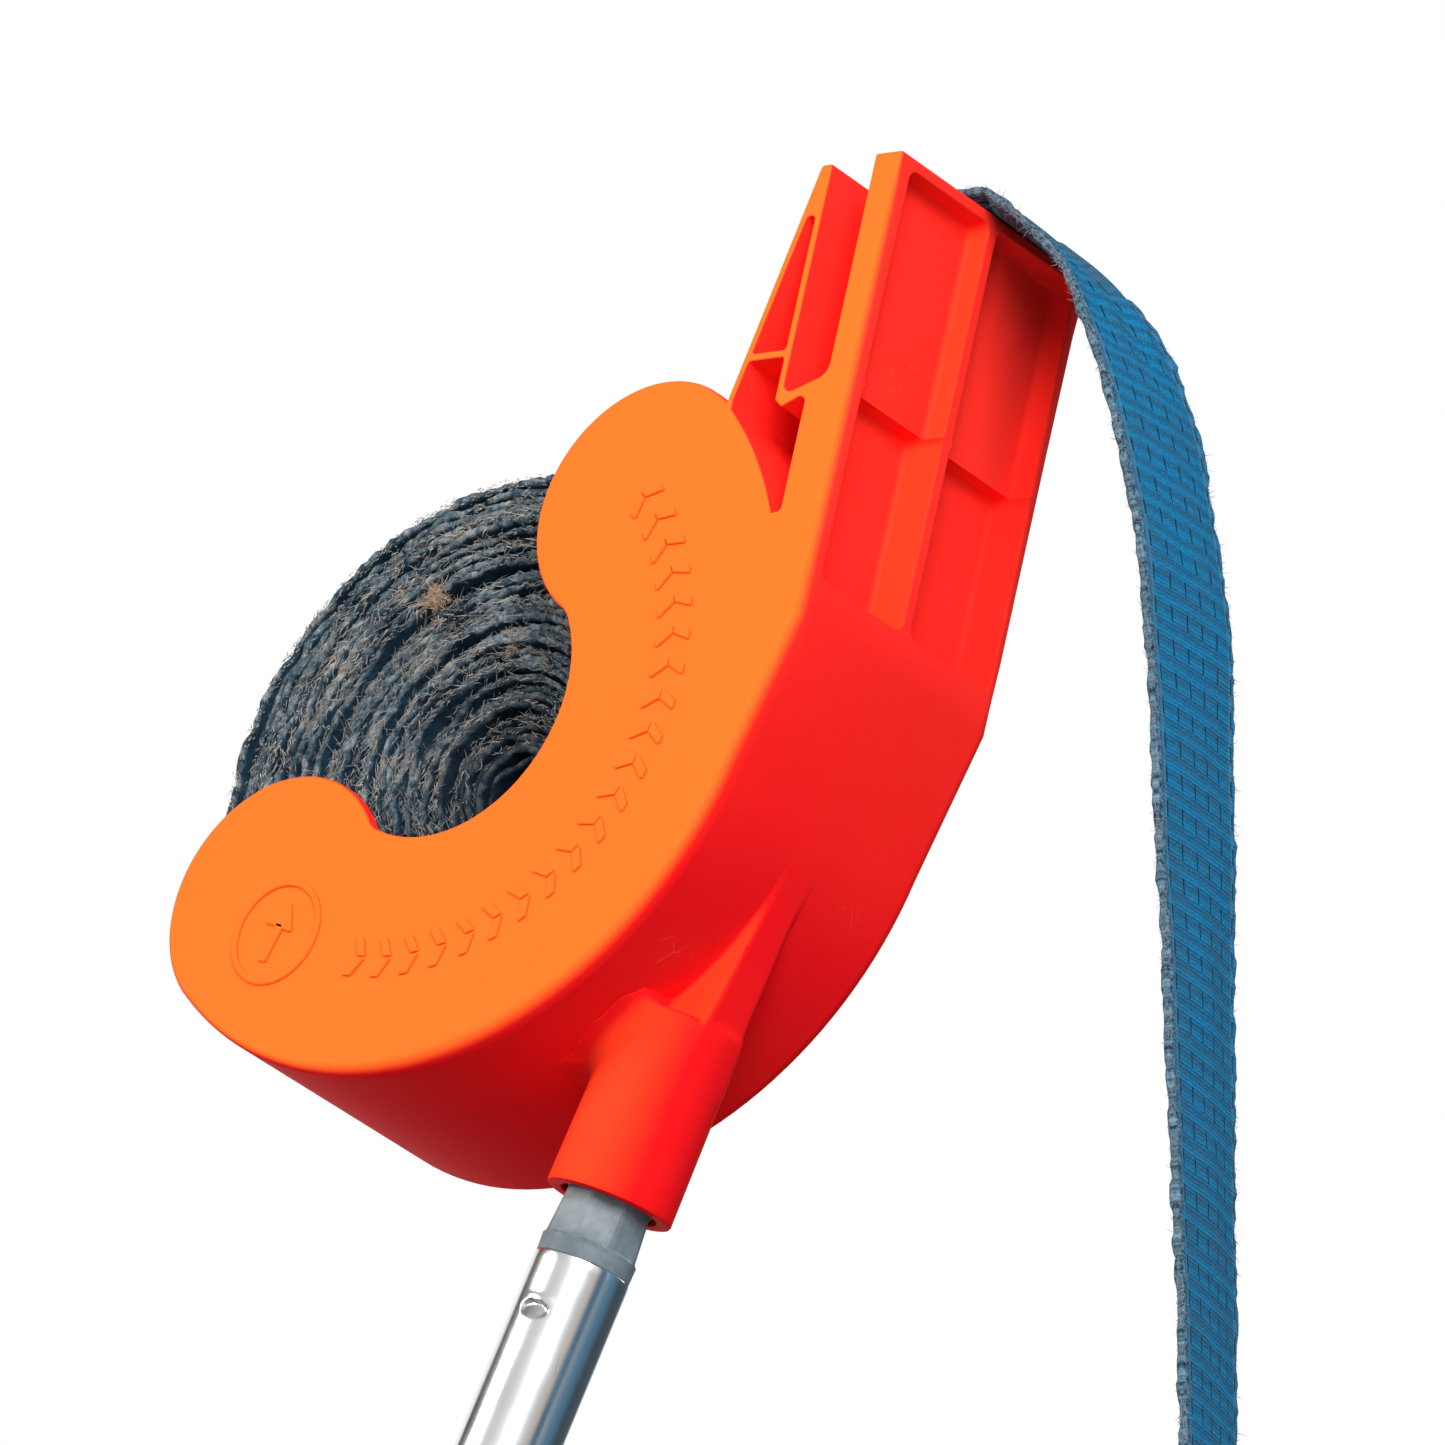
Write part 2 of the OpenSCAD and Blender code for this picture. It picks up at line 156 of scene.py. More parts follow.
def spline(knots, step):
    """Points every step along a Catmull-Rom curve through the knots; extra columns go along."""
    k = np.asarray(knots, float)
    k = np.vstack([2 * k[0] - k[1], k, 2 * k[-1] - k[-2]])
    t = np.linspace(0, 1, 40, endpoint=False)[:, None, None]
    a, b, c, d = k[:-3], k[1:-2], k[2:-1], k[3:]
    square, cube = 2 * a - 5 * b + 4 * c - d, 3 * b - a - 3 * c + d
    fine = 0.5 * (2 * b + (c - a) * t + square * t**2 + cube * t**3)
    fine = np.vstack([fine.transpose(1, 0, 2).reshape(-1, k.shape[1]), k[-2]])
    run = run_along(fine[:, :3])
    at = np.linspace(0, run[-1], max(2, int(round(run[-1] / step)) + 1))
    return np.stack([np.interp(at, run, fine[:, i]) for i in range(k.shape[1])], 1), at


# ---- meshes ----

def grid_faces(rows, cols, round_cols=True, round_rows=False):
    """Quads of a rows x cols grid of points, closed on itself where asked."""
    i = np.arange(rows if round_rows else rows - 1)[:, None]
    j = np.arange(cols if round_cols else cols - 1)[None]
    below, above = i * cols, (i + 1) % rows * cols
    k = (j + 1) % cols
    quads = np.broadcast_arrays(below + j, below + k, above + k, above + j)
    return np.stack(quads, -1).reshape(-1, 4)


def capped(rows, cols):
    """A tube of a grid's faces and both its ends."""
    last = (rows - 1) * cols
    return [*grid_faces(rows, cols), range(cols)[::-1], range(last, last + cols)]


def edited(mesh, operation, *parts, **settings):
    """The mesh after a bmesh operation on all of its verts, edges or faces."""
    work = bmesh.new()
    work.from_mesh(mesh)
    for part in parts:
        settings[part] = getattr(work, part)
    operation(work, **settings)
    work.to_mesh(mesh)
    work.free()
    return mesh


def make_mesh(name, points, faces, uv=None, marks=None):
    """A mesh of points and faces, with one UV and named point values; outward, doubles merged."""
    mesh = bpy.data.meshes.new(name)
    mesh.from_pydata(np.asarray(points).tolist(), [], [list(map(int, f)) for f in faces])
    if uv is not None:
        corner = np.empty(len(mesh.loops), np.int32)
        mesh.loops.foreach_get("vertex_index", corner)
        mesh.uv_layers.new(name="UVMap").data.foreach_set("uv", np.asarray(uv)[corner].ravel())
    for key, values in (marks or {}).items():
        stored_values = mesh.attributes.new(key, "FLOAT", "POINT").data
        stored_values.foreach_set("value", np.asarray(values, np.float32))
    edited(mesh, bmesh.ops.remove_doubles, "verts", dist=1e-7)
    edited(mesh, bmesh.ops.recalc_face_normals, "faces")
    mesh.shade_smooth()
    return mesh


def merged(name, meshes):
    """One mesh of several closed shells."""
    whole = bmesh.new()
    for mesh in meshes:
        whole.from_mesh(mesh)
    mesh = bpy.data.meshes.new(name)
    whole.to_mesh(mesh)
    whole.free()
    mesh.shade_smooth()
    return mesh


def piece(name, mesh, material, body, slot, *nodes):
    """A finished piece: its material, its body and the CAD nodes it stands for; its slot is not
    used.
    """
    obj = link(name, mesh)
    mesh.materials.clear()
    mesh.materials.append(material)
    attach(obj, body)
    if nodes:
        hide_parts(*nodes)
    return obj


def cut(name, target, tools, operation="DIFFERENCE"):
    """The target mesh with the tool meshes taken away or added."""
    base = link(name, target)
    cutters = [link(name + "_tool", t) for t in tools]
    for cutter in cutters:
        step = base.modifiers.new("cut", "BOOLEAN")
        step.operation, step.solver, step.object = operation, "MANIFOLD", cutter
    graph = bpy.context.evaluated_depsgraph_get()
    result = bpy.data.meshes.new_from_object(base.evaluated_get(graph))
    for obj in [base, *cutters]:
        bpy.data.objects.remove(obj)
    return result


def crease(mesh, degrees):
    """Smooth shading that stops at edges sharper than the angle."""
    mesh.shade_smooth()
    mesh.set_sharp_from_angle(angle=math.radians(degrees))
    return mesh


# ---- outlines, in mm ----

def arc(centre, radius, start, end, step=2.5):
    """Centre plus radius times (cos a, sin a), a from start to end in degrees."""
    a = np.radians(np.linspace(start, end, max(2, int(abs(end - start) / step) + 1)))
    return np.asarray(centre) + radius * np.stack([np.cos(a), np.sin(a)], 1)


def corner(before, at, after, radius, bends=6):
    """A corner rounded to a radius: the arc that touches both of its sides."""
    before, at, after = map(np.asarray, (before, at, after))
    u, v = unit(before - at), unit(after - at)
    half = math.acos(np.clip(u @ v, -1, 1)) / 2
    start, end = at + u * radius / math.tan(half), at + v * radius / math.tan(half)
    centre = at + unit(u + v) * radius / math.sin(half)
    t = np.linspace(0, 1, bends + 1)[:, None]
    return centre + unit((start - centre) * (1 - t) + (end - centre) * t) * radius


def rounded(corners):
    """A closed outline from (x, z, radius) corners."""
    c = [np.array(p[:2], float) for p in corners]
    n = len(c)
    return np.vstack([corner(c[i - 1], c[i], c[(i + 1) % n], corners[i][2]) for i in range(n)])


def inset(outline, amount):
    """The outline moved inwards along its corners' mitres; a minus amount moves it outwards."""
    side = unit(outline - np.roll(outline, 1, 0))
    after = np.roll(side, -1, 0)
    out_a, out_b = (np.stack([s[:, 1], -s[:, 0]], 1) for s in (side, after))
    x, z = outline.T
    area = np.sum(x * np.roll(z, -1) - np.roll(x, -1) * z)
    mitre = (out_a + out_b) / np.maximum(1 + np.sum(out_a * out_b, 1), 0.5)[:, None]
    return outline - np.sign(area) * mitre * np.broadcast_to(amount, len(outline))[:, None]


def prism(outline, levels, place):
    """An outline carried through (level, inset) pairs, capped at both ends, then placed."""
    rings = [np.insert(inset(outline, amount), 2, level, 1) for level, amount in levels]
    return make_mesh("prism", place(np.vstack(rings)), capped(len(levels), len(outline)))


def rounded_ends(low, high, edge, steps=5):
    """Levels of a solid whose edges are rounded: inset edge(1 - sin a) at depth edge(1 - cos a)."""
    a = np.radians(np.linspace(0, 90, steps + 1))
    near = [(low + edge * (1 - math.cos(t)), edge * (1 - math.sin(t))) for t in a]
    far = [(high - edge * (1 - math.cos(t)), edge * (1 - math.sin(t))) for t in a[::-1]]
    return near + far


def flared_ends(low, high, edge, past=3, steps=3):
    """Levels of a through cut that rounds the rims it leaves at both faces."""
    a = np.radians(np.linspace(0, 90, steps + 1))
    near = [(low + edge * (1 - math.cos(t)), -edge * (1 - math.sin(t))) for t in a]
    far = [(high - edge * (1 - math.cos(t)), -edge * (1 - math.sin(t))) for t in a[::-1]]
    return [(low - past, -edge), *near, *far, (high + past, -edge)]


def side_on(p):
    """An outline in X and Z with its level across the head."""
    return in_head(np.stack([p[:, 0], p[:, 2], p[:, 1]], 1))


# ---- head ----

HALF_W = 34
FLANGE_T = 4
CHEEK_T = 2.8
DRUM_R = 90
WALL_T = 4
NOTCH_R = 33.4
UPPER_LOBE = (61.0, 30.6, 29.2)
LOWER_LOBE = (60.5, 212.5, 29.5)
SPINE_ANGLE = -29.5
RAIL_TILT = math.radians(14.8)
RAIL_FOOT = np.array([99.4, -6.9])
UP_RAIL = np.array([math.sin(RAIL_TILT), math.cos(RAIL_TILT)])
INTO_HEAD = np.array([-math.cos(RAIL_TILT), math.sin(RAIL_TILT)])
RAIL_LEN = 104
RAIL_T = 8
ROOT_T = 13
SLOT_FAR = 20
WEB_FAR = 21.8
RAMP_TOP = (23.1, 103)
RAMP_FOOT = (35.7, 46.9)
SIDE_WALL = 1.8
POCKET_SPLIT = 49


def rail(depth, level):
    """A point at a depth behind the rail's outer face and a level up it, in the head's X and Z."""
    return RAIL_FOOT + level * UP_RAIL + depth * INTO_HEAD


def lobe_centre(lobe):
    reach, angle, _ = lobe
    return reach * np.array([math.cos(math.radians(angle)), math.sin(math.radians(angle))])


def notch_meeting(lobe):
    """Half the angle at the cradle's axis between the lobe's two crossings of the notch."""
    reach, _, radius = lobe
    return math.degrees(math.acos((reach**2 + NOTCH_R**2 - radius**2) / (2 * reach * NOTCH_R)))


def bearing(point, centre):
    d = np.asarray(point) - centre
    return math.degrees(math.atan2(d[1], d[0]))


def head_outline():
    """The head's side view, anticlockwise, with the rounding of its edges at each point."""
    top, foot = rail(*RAMP_TOP), rail(*RAMP_FOOT)
    upper, lower = lobe_centre(UPPER_LOBE), lobe_centre(LOWER_LOBE)
    down = unit(foot - top)
    along = (upper - top) @ down
    off = np.linalg.norm(upper - top - along * down)
    ramp_end = top + (along - math.sqrt(max(UPPER_LOBE[2] ** 2 - off**2, 0))) * down
    notch_start = UPPER_LOBE[1] - notch_meeting(UPPER_LOBE)
    notch_end = LOWER_LOBE[1] + notch_meeting(LOWER_LOBE) - 360
    drum_angles = (LOWER_LOBE[1] - 360, SPINE_ANGLE)
    last = arc((0, 0), NOTCH_R, notch_end, notch_end)[0]
    first = arc((0, 0), NOTCH_R, notch_start, notch_start)[0]
    slot_right, slot_left = rail(RAIL_T, 50.5), rail(SLOT_FAR, 46.5)
    wedge_right = rail(SLOT_FAR, RAMP_TOP[1])
    drum = arc((0, 0), DRUM_R, *drum_angles)
    upper_start, upper_end = bearing(ramp_end, upper) + 2, bearing(first, upper) + 360 - 2
    stretches = [
        (rail(0, 97)[None], 1.6),
        (corner(rail(0, 0), rail(0, RAIL_LEN), rail(RAIL_T, RAIL_LEN), 1.0), 0.7),
        (corner(rail(0, RAIL_LEN), rail(RAIL_T, RAIL_LEN), slot_right, 0.6), 0.6),
        (corner(rail(RAIL_T, RAIL_LEN), slot_right, slot_left, 3.5), 0.5),
        (corner(slot_right, slot_left, wedge_right, 2.2), 0.5),
        (corner(slot_left, wedge_right, top, 0.6), 0.5),
        (corner(wedge_right, top, foot, 1.0), 0.5),
        (ramp_end[None], 0.5),
        (arc(upper, UPPER_LOBE[2], upper_start, upper_end), 0.8),
        (arc((0, 0), NOTCH_R, notch_start - 2, notch_end + 2), 0.6),
        (arc(lower, LOWER_LOBE[2], bearing(last, lower) + 2, LOWER_LOBE[1] - 2), 1.1),
        (drum, 1.3 + 2.9 * smooth(-140, -85, np.linspace(*drum_angles, len(drum)))),
        (rail(0, -8)[None], 4.2),
        (rail(0, 0)[None], 4.0),
        (rail(0, 10)[None], 3.4),
        (rail(0, 60)[None], 3.0),
        (rail(0, 90)[None], 2.4),
    ]
    outline = np.vstack([s for s, _ in stretches])
    edge = np.concatenate([np.broadcast_to(e, len(s)) for s, e in stretches])
    return outline, edge


def cradle_cavity():
    """Between the cheeks: inside the drum's wall, open from the ramp's foot to the lower lobe."""
    inner = DRUM_R - WALL_T
    ring = arc((0, 0), inner, -154, 31.5)
    mouth_way = arc((0, 0), 112, 56, 206, step=10)
    gap = rail(RAMP_FOOT[0] + 0.6, RAMP_FOOT[1] + 1.4)
    beside = rail(RAMP_TOP[0] + 4, RAMP_TOP[1] + 6)
    return np.vstack([ring, gap, beside, mouth_way])


def horn_pocket():
    """The tall triangle between ramp and web."""
    slope = (RAMP_FOOT[0] - RAMP_TOP[0]) / (RAMP_TOP[1] - RAMP_FOOT[1])
    ramp_at = lambda level: RAMP_TOP[0] + slope * (RAMP_TOP[1] - level) - SIDE_WALL
    low, top = 57.8, 90.5
    corners = [(WEB_FAR, low, 1.0), (WEB_FAR, top, 1.0), (ramp_at(top), top, 1.0),
               (ramp_at(low), low, 0.6)]
    return rounded([(*rail(d, s), r) for d, s, r in corners])


def horn_cavity():
    """Below the rib: between the drum, the web's foot and the rail's thick root."""
    corners = [
        (*rail(ROOT_T, 18), 1.0), (*rail(ROOT_T, 46.4), 1.6), (*rail(19.6, 43.6), 1.0),
        (*rail(WEB_FAR, 45.6), 0.5), (*rail(WEB_FAR, 56), 0.8), (*rail(31.9, 56), 0.8),
        (*rail(34.0, 47), 0.6),
    ]
    points = [np.array(c[:2]) for c in corners]
    ring = arc((0, 0), DRUM_R, 30.0, 9.0)
    points = [ring[-1], *points, ring[0]]
    bends = [corner(*points[i:i + 3], corners[i][2]) for i in range(len(corners))]
    return np.vstack([*bends, ring])


def rail_pocket(side, low, high, depth):
    """One pocket in the rail's outer face, its corners and floor rounded, its rim eased."""
    rib, flange = 1.5, HALF_W - FLANGE_T
    sides = ((rib, low), (flange, low), (flange, high), (rib, high))
    outline = rounded([(*side_at, 2.4) for side_at in sides])
    outline[:, 0] *= side
    a = np.radians(np.linspace(0, 90, 5))
    rim, floor_r = 0.5, 1.6
    levels = [(-2, -rim)] + [(rim * (1 - math.cos(t)), -rim * (1 - math.sin(t))) for t in a]
    levels += [(depth - floor_r * (1 - math.sin(t)), floor_r * (1 - math.cos(t))) for t in a]

    def place(p):
        flat = RAIL_FOOT + p[:, 1:2] * UP_RAIL + p[:, 2:3] * INTO_HEAD
        return in_head(np.stack([flat[:, 0], p[:, 0], flat[:, 1]], 1))

    return prism(outline, levels, place)


SOCKET_R = 14.5
POLE_OFFSET = 72.5
SOCKET_REACH = 96.5


def socket_field(out, across, up):
    """Distance to the socket's outside: a tube with a rounded shoulder, and above it a ridge with
    a flat crest and sloping sides that narrows until the drum takes it in. The fillet against the
    drum is broad at the tube and tight along the ridge."""
    tube = -blend_min(-(np.hypot(out, across) - (SOCKET_R - 0.012 * up)), -(up - 43.5), 1.8)
    drum = np.hypot(out + POLE_OFFSET, SOCKET_REACH - up) - DRUM_R
    crest = 12.9 + (up - 42) * 0.072
    half = 6.3 - (up - 42) * 0.055
    side = np.abs(across) - half - 0.12 * np.clip(crest - out, 0, 9)
    ridge = np.maximum(-blend_min(crest - out, -side, 1.2), 30 - up)
    body = blend_min(tube, ridge, 0.5 + 1.5 * smooth(-6, 0, across))
    return blend_min(body, drum, 1.2 + 5.3 * smooth(49, 40, up)), drum


def pole_socket():
    """Bore, rim and outside of the socket: each line starts at the rim and follows the field's
    surface up until the drum has taken it in."""
    turns, steps, stride = 144, 150, 0.85
    theta = np.arange(turns) * 2 * math.pi / turns
    bore, depth = 11.1, 30
    rim = [(0, depth), (bore - 0.6, depth), (bore, depth - 0.6), (bore, 0.5), (bore + 0.15, 0.15),
           (bore + 0.5, 0), (SOCKET_R - 0.7, 0), (SOCKET_R - 0.2, 0.2)]
    rows = [np.stack([np.full(turns, r), np.full(turns, h)], 1) for r, h in rim]
    at = np.stack([np.full(turns, SOCKET_R), np.full(turns, 0.7)], 1)
    moving = np.ones(turns, bool)

    def field(p):
        return socket_field(p[:, 0] * np.cos(theta), p[:, 0] * np.sin(theta), p[:, 1])

    def slope(p, e=0.02):
        dr = (field(p + [e, 0])[0] - field(p - [e, 0])[0]) / (2 * e)
        dh = (field(p + [0, e])[0] - field(p - [0, e])[0]) / (2 * e)
        return np.stack([dr, dh], 1)

    for _ in range(steps):
        rows.append(at.copy())
        g = unit(slope(at))
        step = at + np.stack([-g[:, 1], g[:, 0]], 1) * stride
        for _ in range(3):
            grad = slope(step)
            step -= grad * (field(step)[0] / np.maximum(np.sum(grad**2, 1), 0.05))[:, None]
        value, drum = field(step)
        moving &= drum > 0.02
        at = np.where(moving[:, None], step, at)
    rows.append(at - 0.9 * unit(slope(at)))
    rings = np.array(rows)
    points = np.stack([rings[..., 0] * np.cos(theta), rings[..., 0] * np.sin(theta),
                       MOUTH + rings[..., 1]], -1)
    # one more ring and a cap inside the drum's wall, so that the socket ends out of sight
    last = points[-1]
    middle = last.mean(0)
    away = np.hypot(middle[0] + POLE_OFFSET, MOUTH + SOCKET_REACH - middle[2])
    middle[0] = (middle[0] + POLE_OFFSET) * (DRUM_R - 2) / away - POLE_OFFSET
    inner = last * 0.5 + middle * 0.5
    reach = np.hypot(inner[:, 0] + POLE_OFFSET, MOUTH + SOCKET_REACH - inner[:, 2])
    fix = (DRUM_R - 2) / reach
    inner[:, 0] = (inner[:, 0] + POLE_OFFSET) * fix - POLE_OFFSET
    inner[:, 2] = MOUTH + SOCKET_REACH - (MOUTH + SOCKET_REACH - inner[:, 2]) * fix
    points = np.concatenate([points, inner[None]])
    count = len(points)
    faces = [*grid_faces(count, turns), range((count - 1) * turns, count * turns)]
    mesh = make_mesh("pole_socket", in_pole(points.reshape(-1, 3)), faces)
    return edited(mesh, bmesh.ops.dissolve_degenerate, "edges", dist=2e-6)


def raised(outline):
    """A low raised shape on the near cheek with rounded upper edges."""
    return prism(outline, rounded_ends(-HALF_W - 0.6, -HALF_W + 1, 0.28, 3), side_on)


def turned(shape, degrees, centre):
    a = math.radians(degrees)
    return shape @ np.array([[math.cos(a), math.sin(a)], [-math.sin(a), math.cos(a)]]) + centre


def chevrons():
    """Raised arrowheads, two arms each, that follow the near cheek round the notch."""
    shapes = []
    thick, reach, tall, row_r = 2.4, 3.8, 4.5, 62.5
    arm = np.array([(-reach / 2, -tall), (thick - reach / 2, -tall),
                    (reach / 2 + thick / 2, 0), (reach / 2 - thick / 2, 0)])
    for degrees in np.arange(-115, 30, 7.2):
        middle = lobe_centre((row_r, degrees, 0))
        for flip in (1, -1):
            corners = (arm * [1, flip] + [0, -0.2 * flip])[::flip]
            outline = rounded([(x, z, 0.35) for x, z in corners])
            shapes.append(raised(turned(outline, degrees + 90, middle)))
    return shapes


def badge():
    """A plain raised ring with an arrow that says which way the strap feeds."""
    centre, turns = np.array([-49.0, -42.5]), 96
    t = np.arange(turns) * 2 * math.pi / turns
    section = [(11.2, 1.0), (11.2, -0.35), (11.45, -0.6),
               (12.35, -0.6), (12.6, -0.35), (12.6, 1.0)]
    rings = np.array([np.stack([centre[0] + r * np.cos(t), centre[1] + r * np.sin(t),
                                np.full(turns, y - HALF_W)], 1) for r, y in section])
    faces = grid_faces(len(section), turns, round_rows=True)
    ring = make_mesh("badge", side_on(rings.reshape(-1, 3)), faces)
    shaft = rounded([(-7.2, -1.2, 0.5), (2.2, -1.2, 0.2), (2.2, 1.2, 0.2), (-7.2, 1.2, 0.5)])
    head_of = rounded([(1.2, -4.6, 0.5), (7.6, 0, 0.6), (1.2, 4.6, 0.5)])
    return [ring, raised(turned(shaft, 55, centre)), raised(turned(head_of, 55, centre))]


def printed_head():
    outline, edge = head_outline()
    inside = HALF_W - CHEEK_T
    body = prism(outline, rounded_ends(-HALF_W, HALF_W, edge), side_on)
    tools = [
        prism(cradle_cavity(), [(-inside, 0), (inside, 0)], side_on),
        prism(horn_pocket(), flared_ends(-HALF_W, HALF_W, 0.4), side_on),
        prism(horn_cavity(), flared_ends(-HALF_W, HALF_W, 0.5), side_on),
    ]
    for side in (-1, 1):
        tools.append(rail_pocket(side, POCKET_SPLIT - 1, RAIL_LEN - 3, RAIL_T - 2))
        tools.append(rail_pocket(side, 1.8, POCKET_SPLIT, ROOT_T - 2.2))
    body = cut("head", body, tools)
    return crease(merged("printed_head", [body, pole_socket(), *chevrons(), *badge()]), 38)


# ---- strap ----

STRAP_W = 50
STRAP_T = 1.7
# Route over the ramp and the rail's top, then the hanging tail, in the head's frame:
# x, z, middle across, width, and for the tail the turn of its width about Z.
RUN = [
    [72.4, -17, 0, 50], [72.2, 0, 0, 50], [72.0, 20, 0, 50], [71.6, 36, 0, 50],
    [71.6, 44, 0, 50], [73.4, 49.5, 1, 50], [79.4, 57.5, 2, 50], [86, 70.2, 4, 49],
    [93.2, 84, 8, 46], [99.6, 96.3, 11, 43], [103.4, 101, 12, 42], [111, 99.6, 13, 41],
    [119, 97.9, 13.5, 40], [125.6, 96.4, 14, 40],
]
TAIL = [
    [125.7, 96.4, 14, 40, 0], [133, 88, 14, 42, 1], [140, 79, 14, 44, 3],
    [147, 68, 14, 46, 5], [152, 55, 14, 48, 7], [156, 42, 14, 50, 9],
    [160, 24, 14, 50, 11], [163.5, 4, 14, 50, 12.5], [166, -16, 14, 50, 14],
    [166.5, -38, 14, 50, 15.5], [167, -62, 14, 50, 17], [167, -88, 14, 50, 18.5],
    [167.5, -114, 14, 50, 20], [167.5, -140, 14, 50, 21], [168, -166, 14, 50, 22],
    [168, -194, 14, 50, 23], [168, -222, 14, 50, 24], [168, -250, 14, 50, 24],
]
RUN_LENGTH = 142
TAIL_TURN = 24
EYE_DROP = 26
WIRE_R = 4.5


def route_points(route, step):
    """A route's middle line, the direction of its width, its widths and the run along it."""
    k = np.array(route, float)
    turn = k[:, 4] if k.shape[1] > 4 else np.zeros(len(k))
    knots = np.column_stack([k[:, 0], k[:, 2], k[:, 1], k[:, 3], turn])
    line, run = spline(knots, step)
    angle = np.radians(line[:, 4])
    wide = np.stack([-np.sin(angle), np.cos(angle), np.zeros(len(line))], 1)
    return line[:, :3], wide, line[:, 3], run


def band_loop(columns, bead, thick, caps=5):
    """The outline of a band's section, flat faces between two beads: each point's share of the
    half width, its offsets outwards and up in bead radii, and 1 at a bead's crest."""
    flat = np.linspace(-1, 1, columns)
    rise = thick / 2 / bead + (1 - thick / 2 / bead) * smooth(0.9, 1, np.abs(flat))
    turn = np.radians(np.linspace(75, -75, caps))
    share = np.concatenate([flat, np.ones(caps), flat[::-1], -np.ones(caps)])
    out = np.concatenate([0 * flat, np.cos(turn), 0 * flat, -np.cos(turn)])
    up = np.concatenate([rise, np.sin(turn), -rise[::-1], -np.sin(turn)])
    crest = np.concatenate([0.3 * smooth(0.94, 1, np.abs(flat)), 0.3 + 0.7 * np.cos(turn)] * 2)
    return share, out, up, crest


def webbing(name, middle, wide, width, run, offset, darkening, edge_wave, seed,
            thick=STRAP_T, bead=1.15, columns=26):
    """A band of webbing along a line: its section's outline carried along, the beads swelling and
    wandering with the weave, and the whole pushed off the line by offset(share, run)."""
    along = unit(np.gradient(middle, axis=0))
    normal = unit(np.cross(wide, along))
    share, out, up, crest = band_loop(columns, bead, thick)
    s = run[:, None]
    side = np.sign(share) * (np.abs(share) == 1)
    swell = bead * (1 + 0.3 * np.abs(side) * noise(s / 2.2, 31 * side, seed + 2))
    wander = 0.5 * noise(s / 2.1, 40 * side, seed) + 0.8 * noise(s / 8.0, 70 * side, seed + 1)
    reach = (width[:, None] / 2 - bead) * share + swell * out + edge_wave * side * wander
    lift = offset(share[None], s) + swell * up
    points = middle[:, None] + wide[:, None] * reach[..., None] + normal[:, None] * lift[..., None]
    across_mm = STRAP_W / 2 + (STRAP_W / 2 - bead) * share + bead * out
    uv = np.stack(np.broadcast_arrays(across_mm / 100, s / 100), -1)
    marks = {"rim": crest, "darkening": darkening(s)}
    marks = {key: np.broadcast_to(values, reach.shape).ravel() for key, values in marks.items()}
    return make_mesh(name, in_head(points.reshape(-1, 3)), capped(*reach.shape),
                     uv.reshape(-1, 2), marks)


def fibres(name, roots, ways, lengths, thick, rng, curl=0.5, shade=None):
    """Loose threads: each is a three-sided taper along root + way * s + a random curl times s^2."""
    count, rings, sides = len(roots), 3, 3
    s = np.linspace(0, 1, rings)[None, :, None]
    bend = unit(rng.normal(size=(count, 1, 3))) * curl * lengths[:, None, None]
    line = roots[:, None] + ways[:, None] * s * lengths[:, None, None] + bend * s**2
    side = unit(np.cross(ways, rng.normal(size=(count, 3))))[:, None]
    other = unit(np.cross(ways, side[:, 0]))[:, None]
    girth = thick * (1 - 0.75 * s)
    angles = np.arange(sides) * 2 * math.pi / sides
    girths = [girth * (side * math.cos(a) + other * math.sin(a)) for a in angles]
    points = line[:, :, None] + np.stack(girths, 2)
    starts = np.arange(count)[:, None, None] * rings * sides
    faces = [(starts + shape).reshape(-1, len(shape[0])).tolist()
             for shape in (grid_faces(rings, sides), [[0, 2, 1]], [[6, 7, 8]])]
    tones = np.repeat(rng.uniform(0, 1, count) if shade is None else shade, rings * sides)
    mesh = bpy.data.meshes.new(name)
    mesh.from_pydata(in_head(points.reshape(-1, 3)).tolist(), [], sum(faces, []))
    stored_values = mesh.attributes.new("tone", "FLOAT", "POINT").data
    stored_values.foreach_set("value", tones.astype(np.float32))
    mesh.shade_smooth()
    return mesh


ROLL_R = 71
ROLL_CORE = 7
PITCH = 1.85


def on_roll(radius, across, angle):
    """A point at a radius and angle about the roll's own axis, in the head's frame."""
    across = np.broadcast_to(across, np.shape(radius))
    return np.stack([radius * np.cos(angle), across, radius * np.sin(angle) - ROLL_DROP], -1)


def roll_shape(angle):
    """The spiral's radius and its slip across: inner turns lie deeper, groups of turns stand proud
    of others, and each turn wanders in and out on its own."""
    radius = ROLL_CORE + PITCH * angle / (2 * math.pi)
    turn = angle / (2 * math.pi)
    inner = 1 - smooth(60, 68, radius)
    swell = 3.2 * smooth(25, 70, radius) * np.clip(np.cos(angle - math.radians(160)), -0.2, 1)
    radius = radius + swell + 0.45 * inner * noise(angle * 1.6, turn * 0.9, 3)
    slip = 1.0 + 3.0 * smooth(66, 40, radius) + 9.5 * smooth(38, 6, radius)
    slip = slip + 1.7 * noise(turn * 0.45, angle * 0.25, 8)
    slip = slip + 1.0 * noise(angle * 0.8, np.floor(turn) * 3.7, 5)
    slip = slip + 1.9 * smooth(0.3, 0.75, noise(angle * 0.5, turn * 0.7, 11))
    return radius, slip


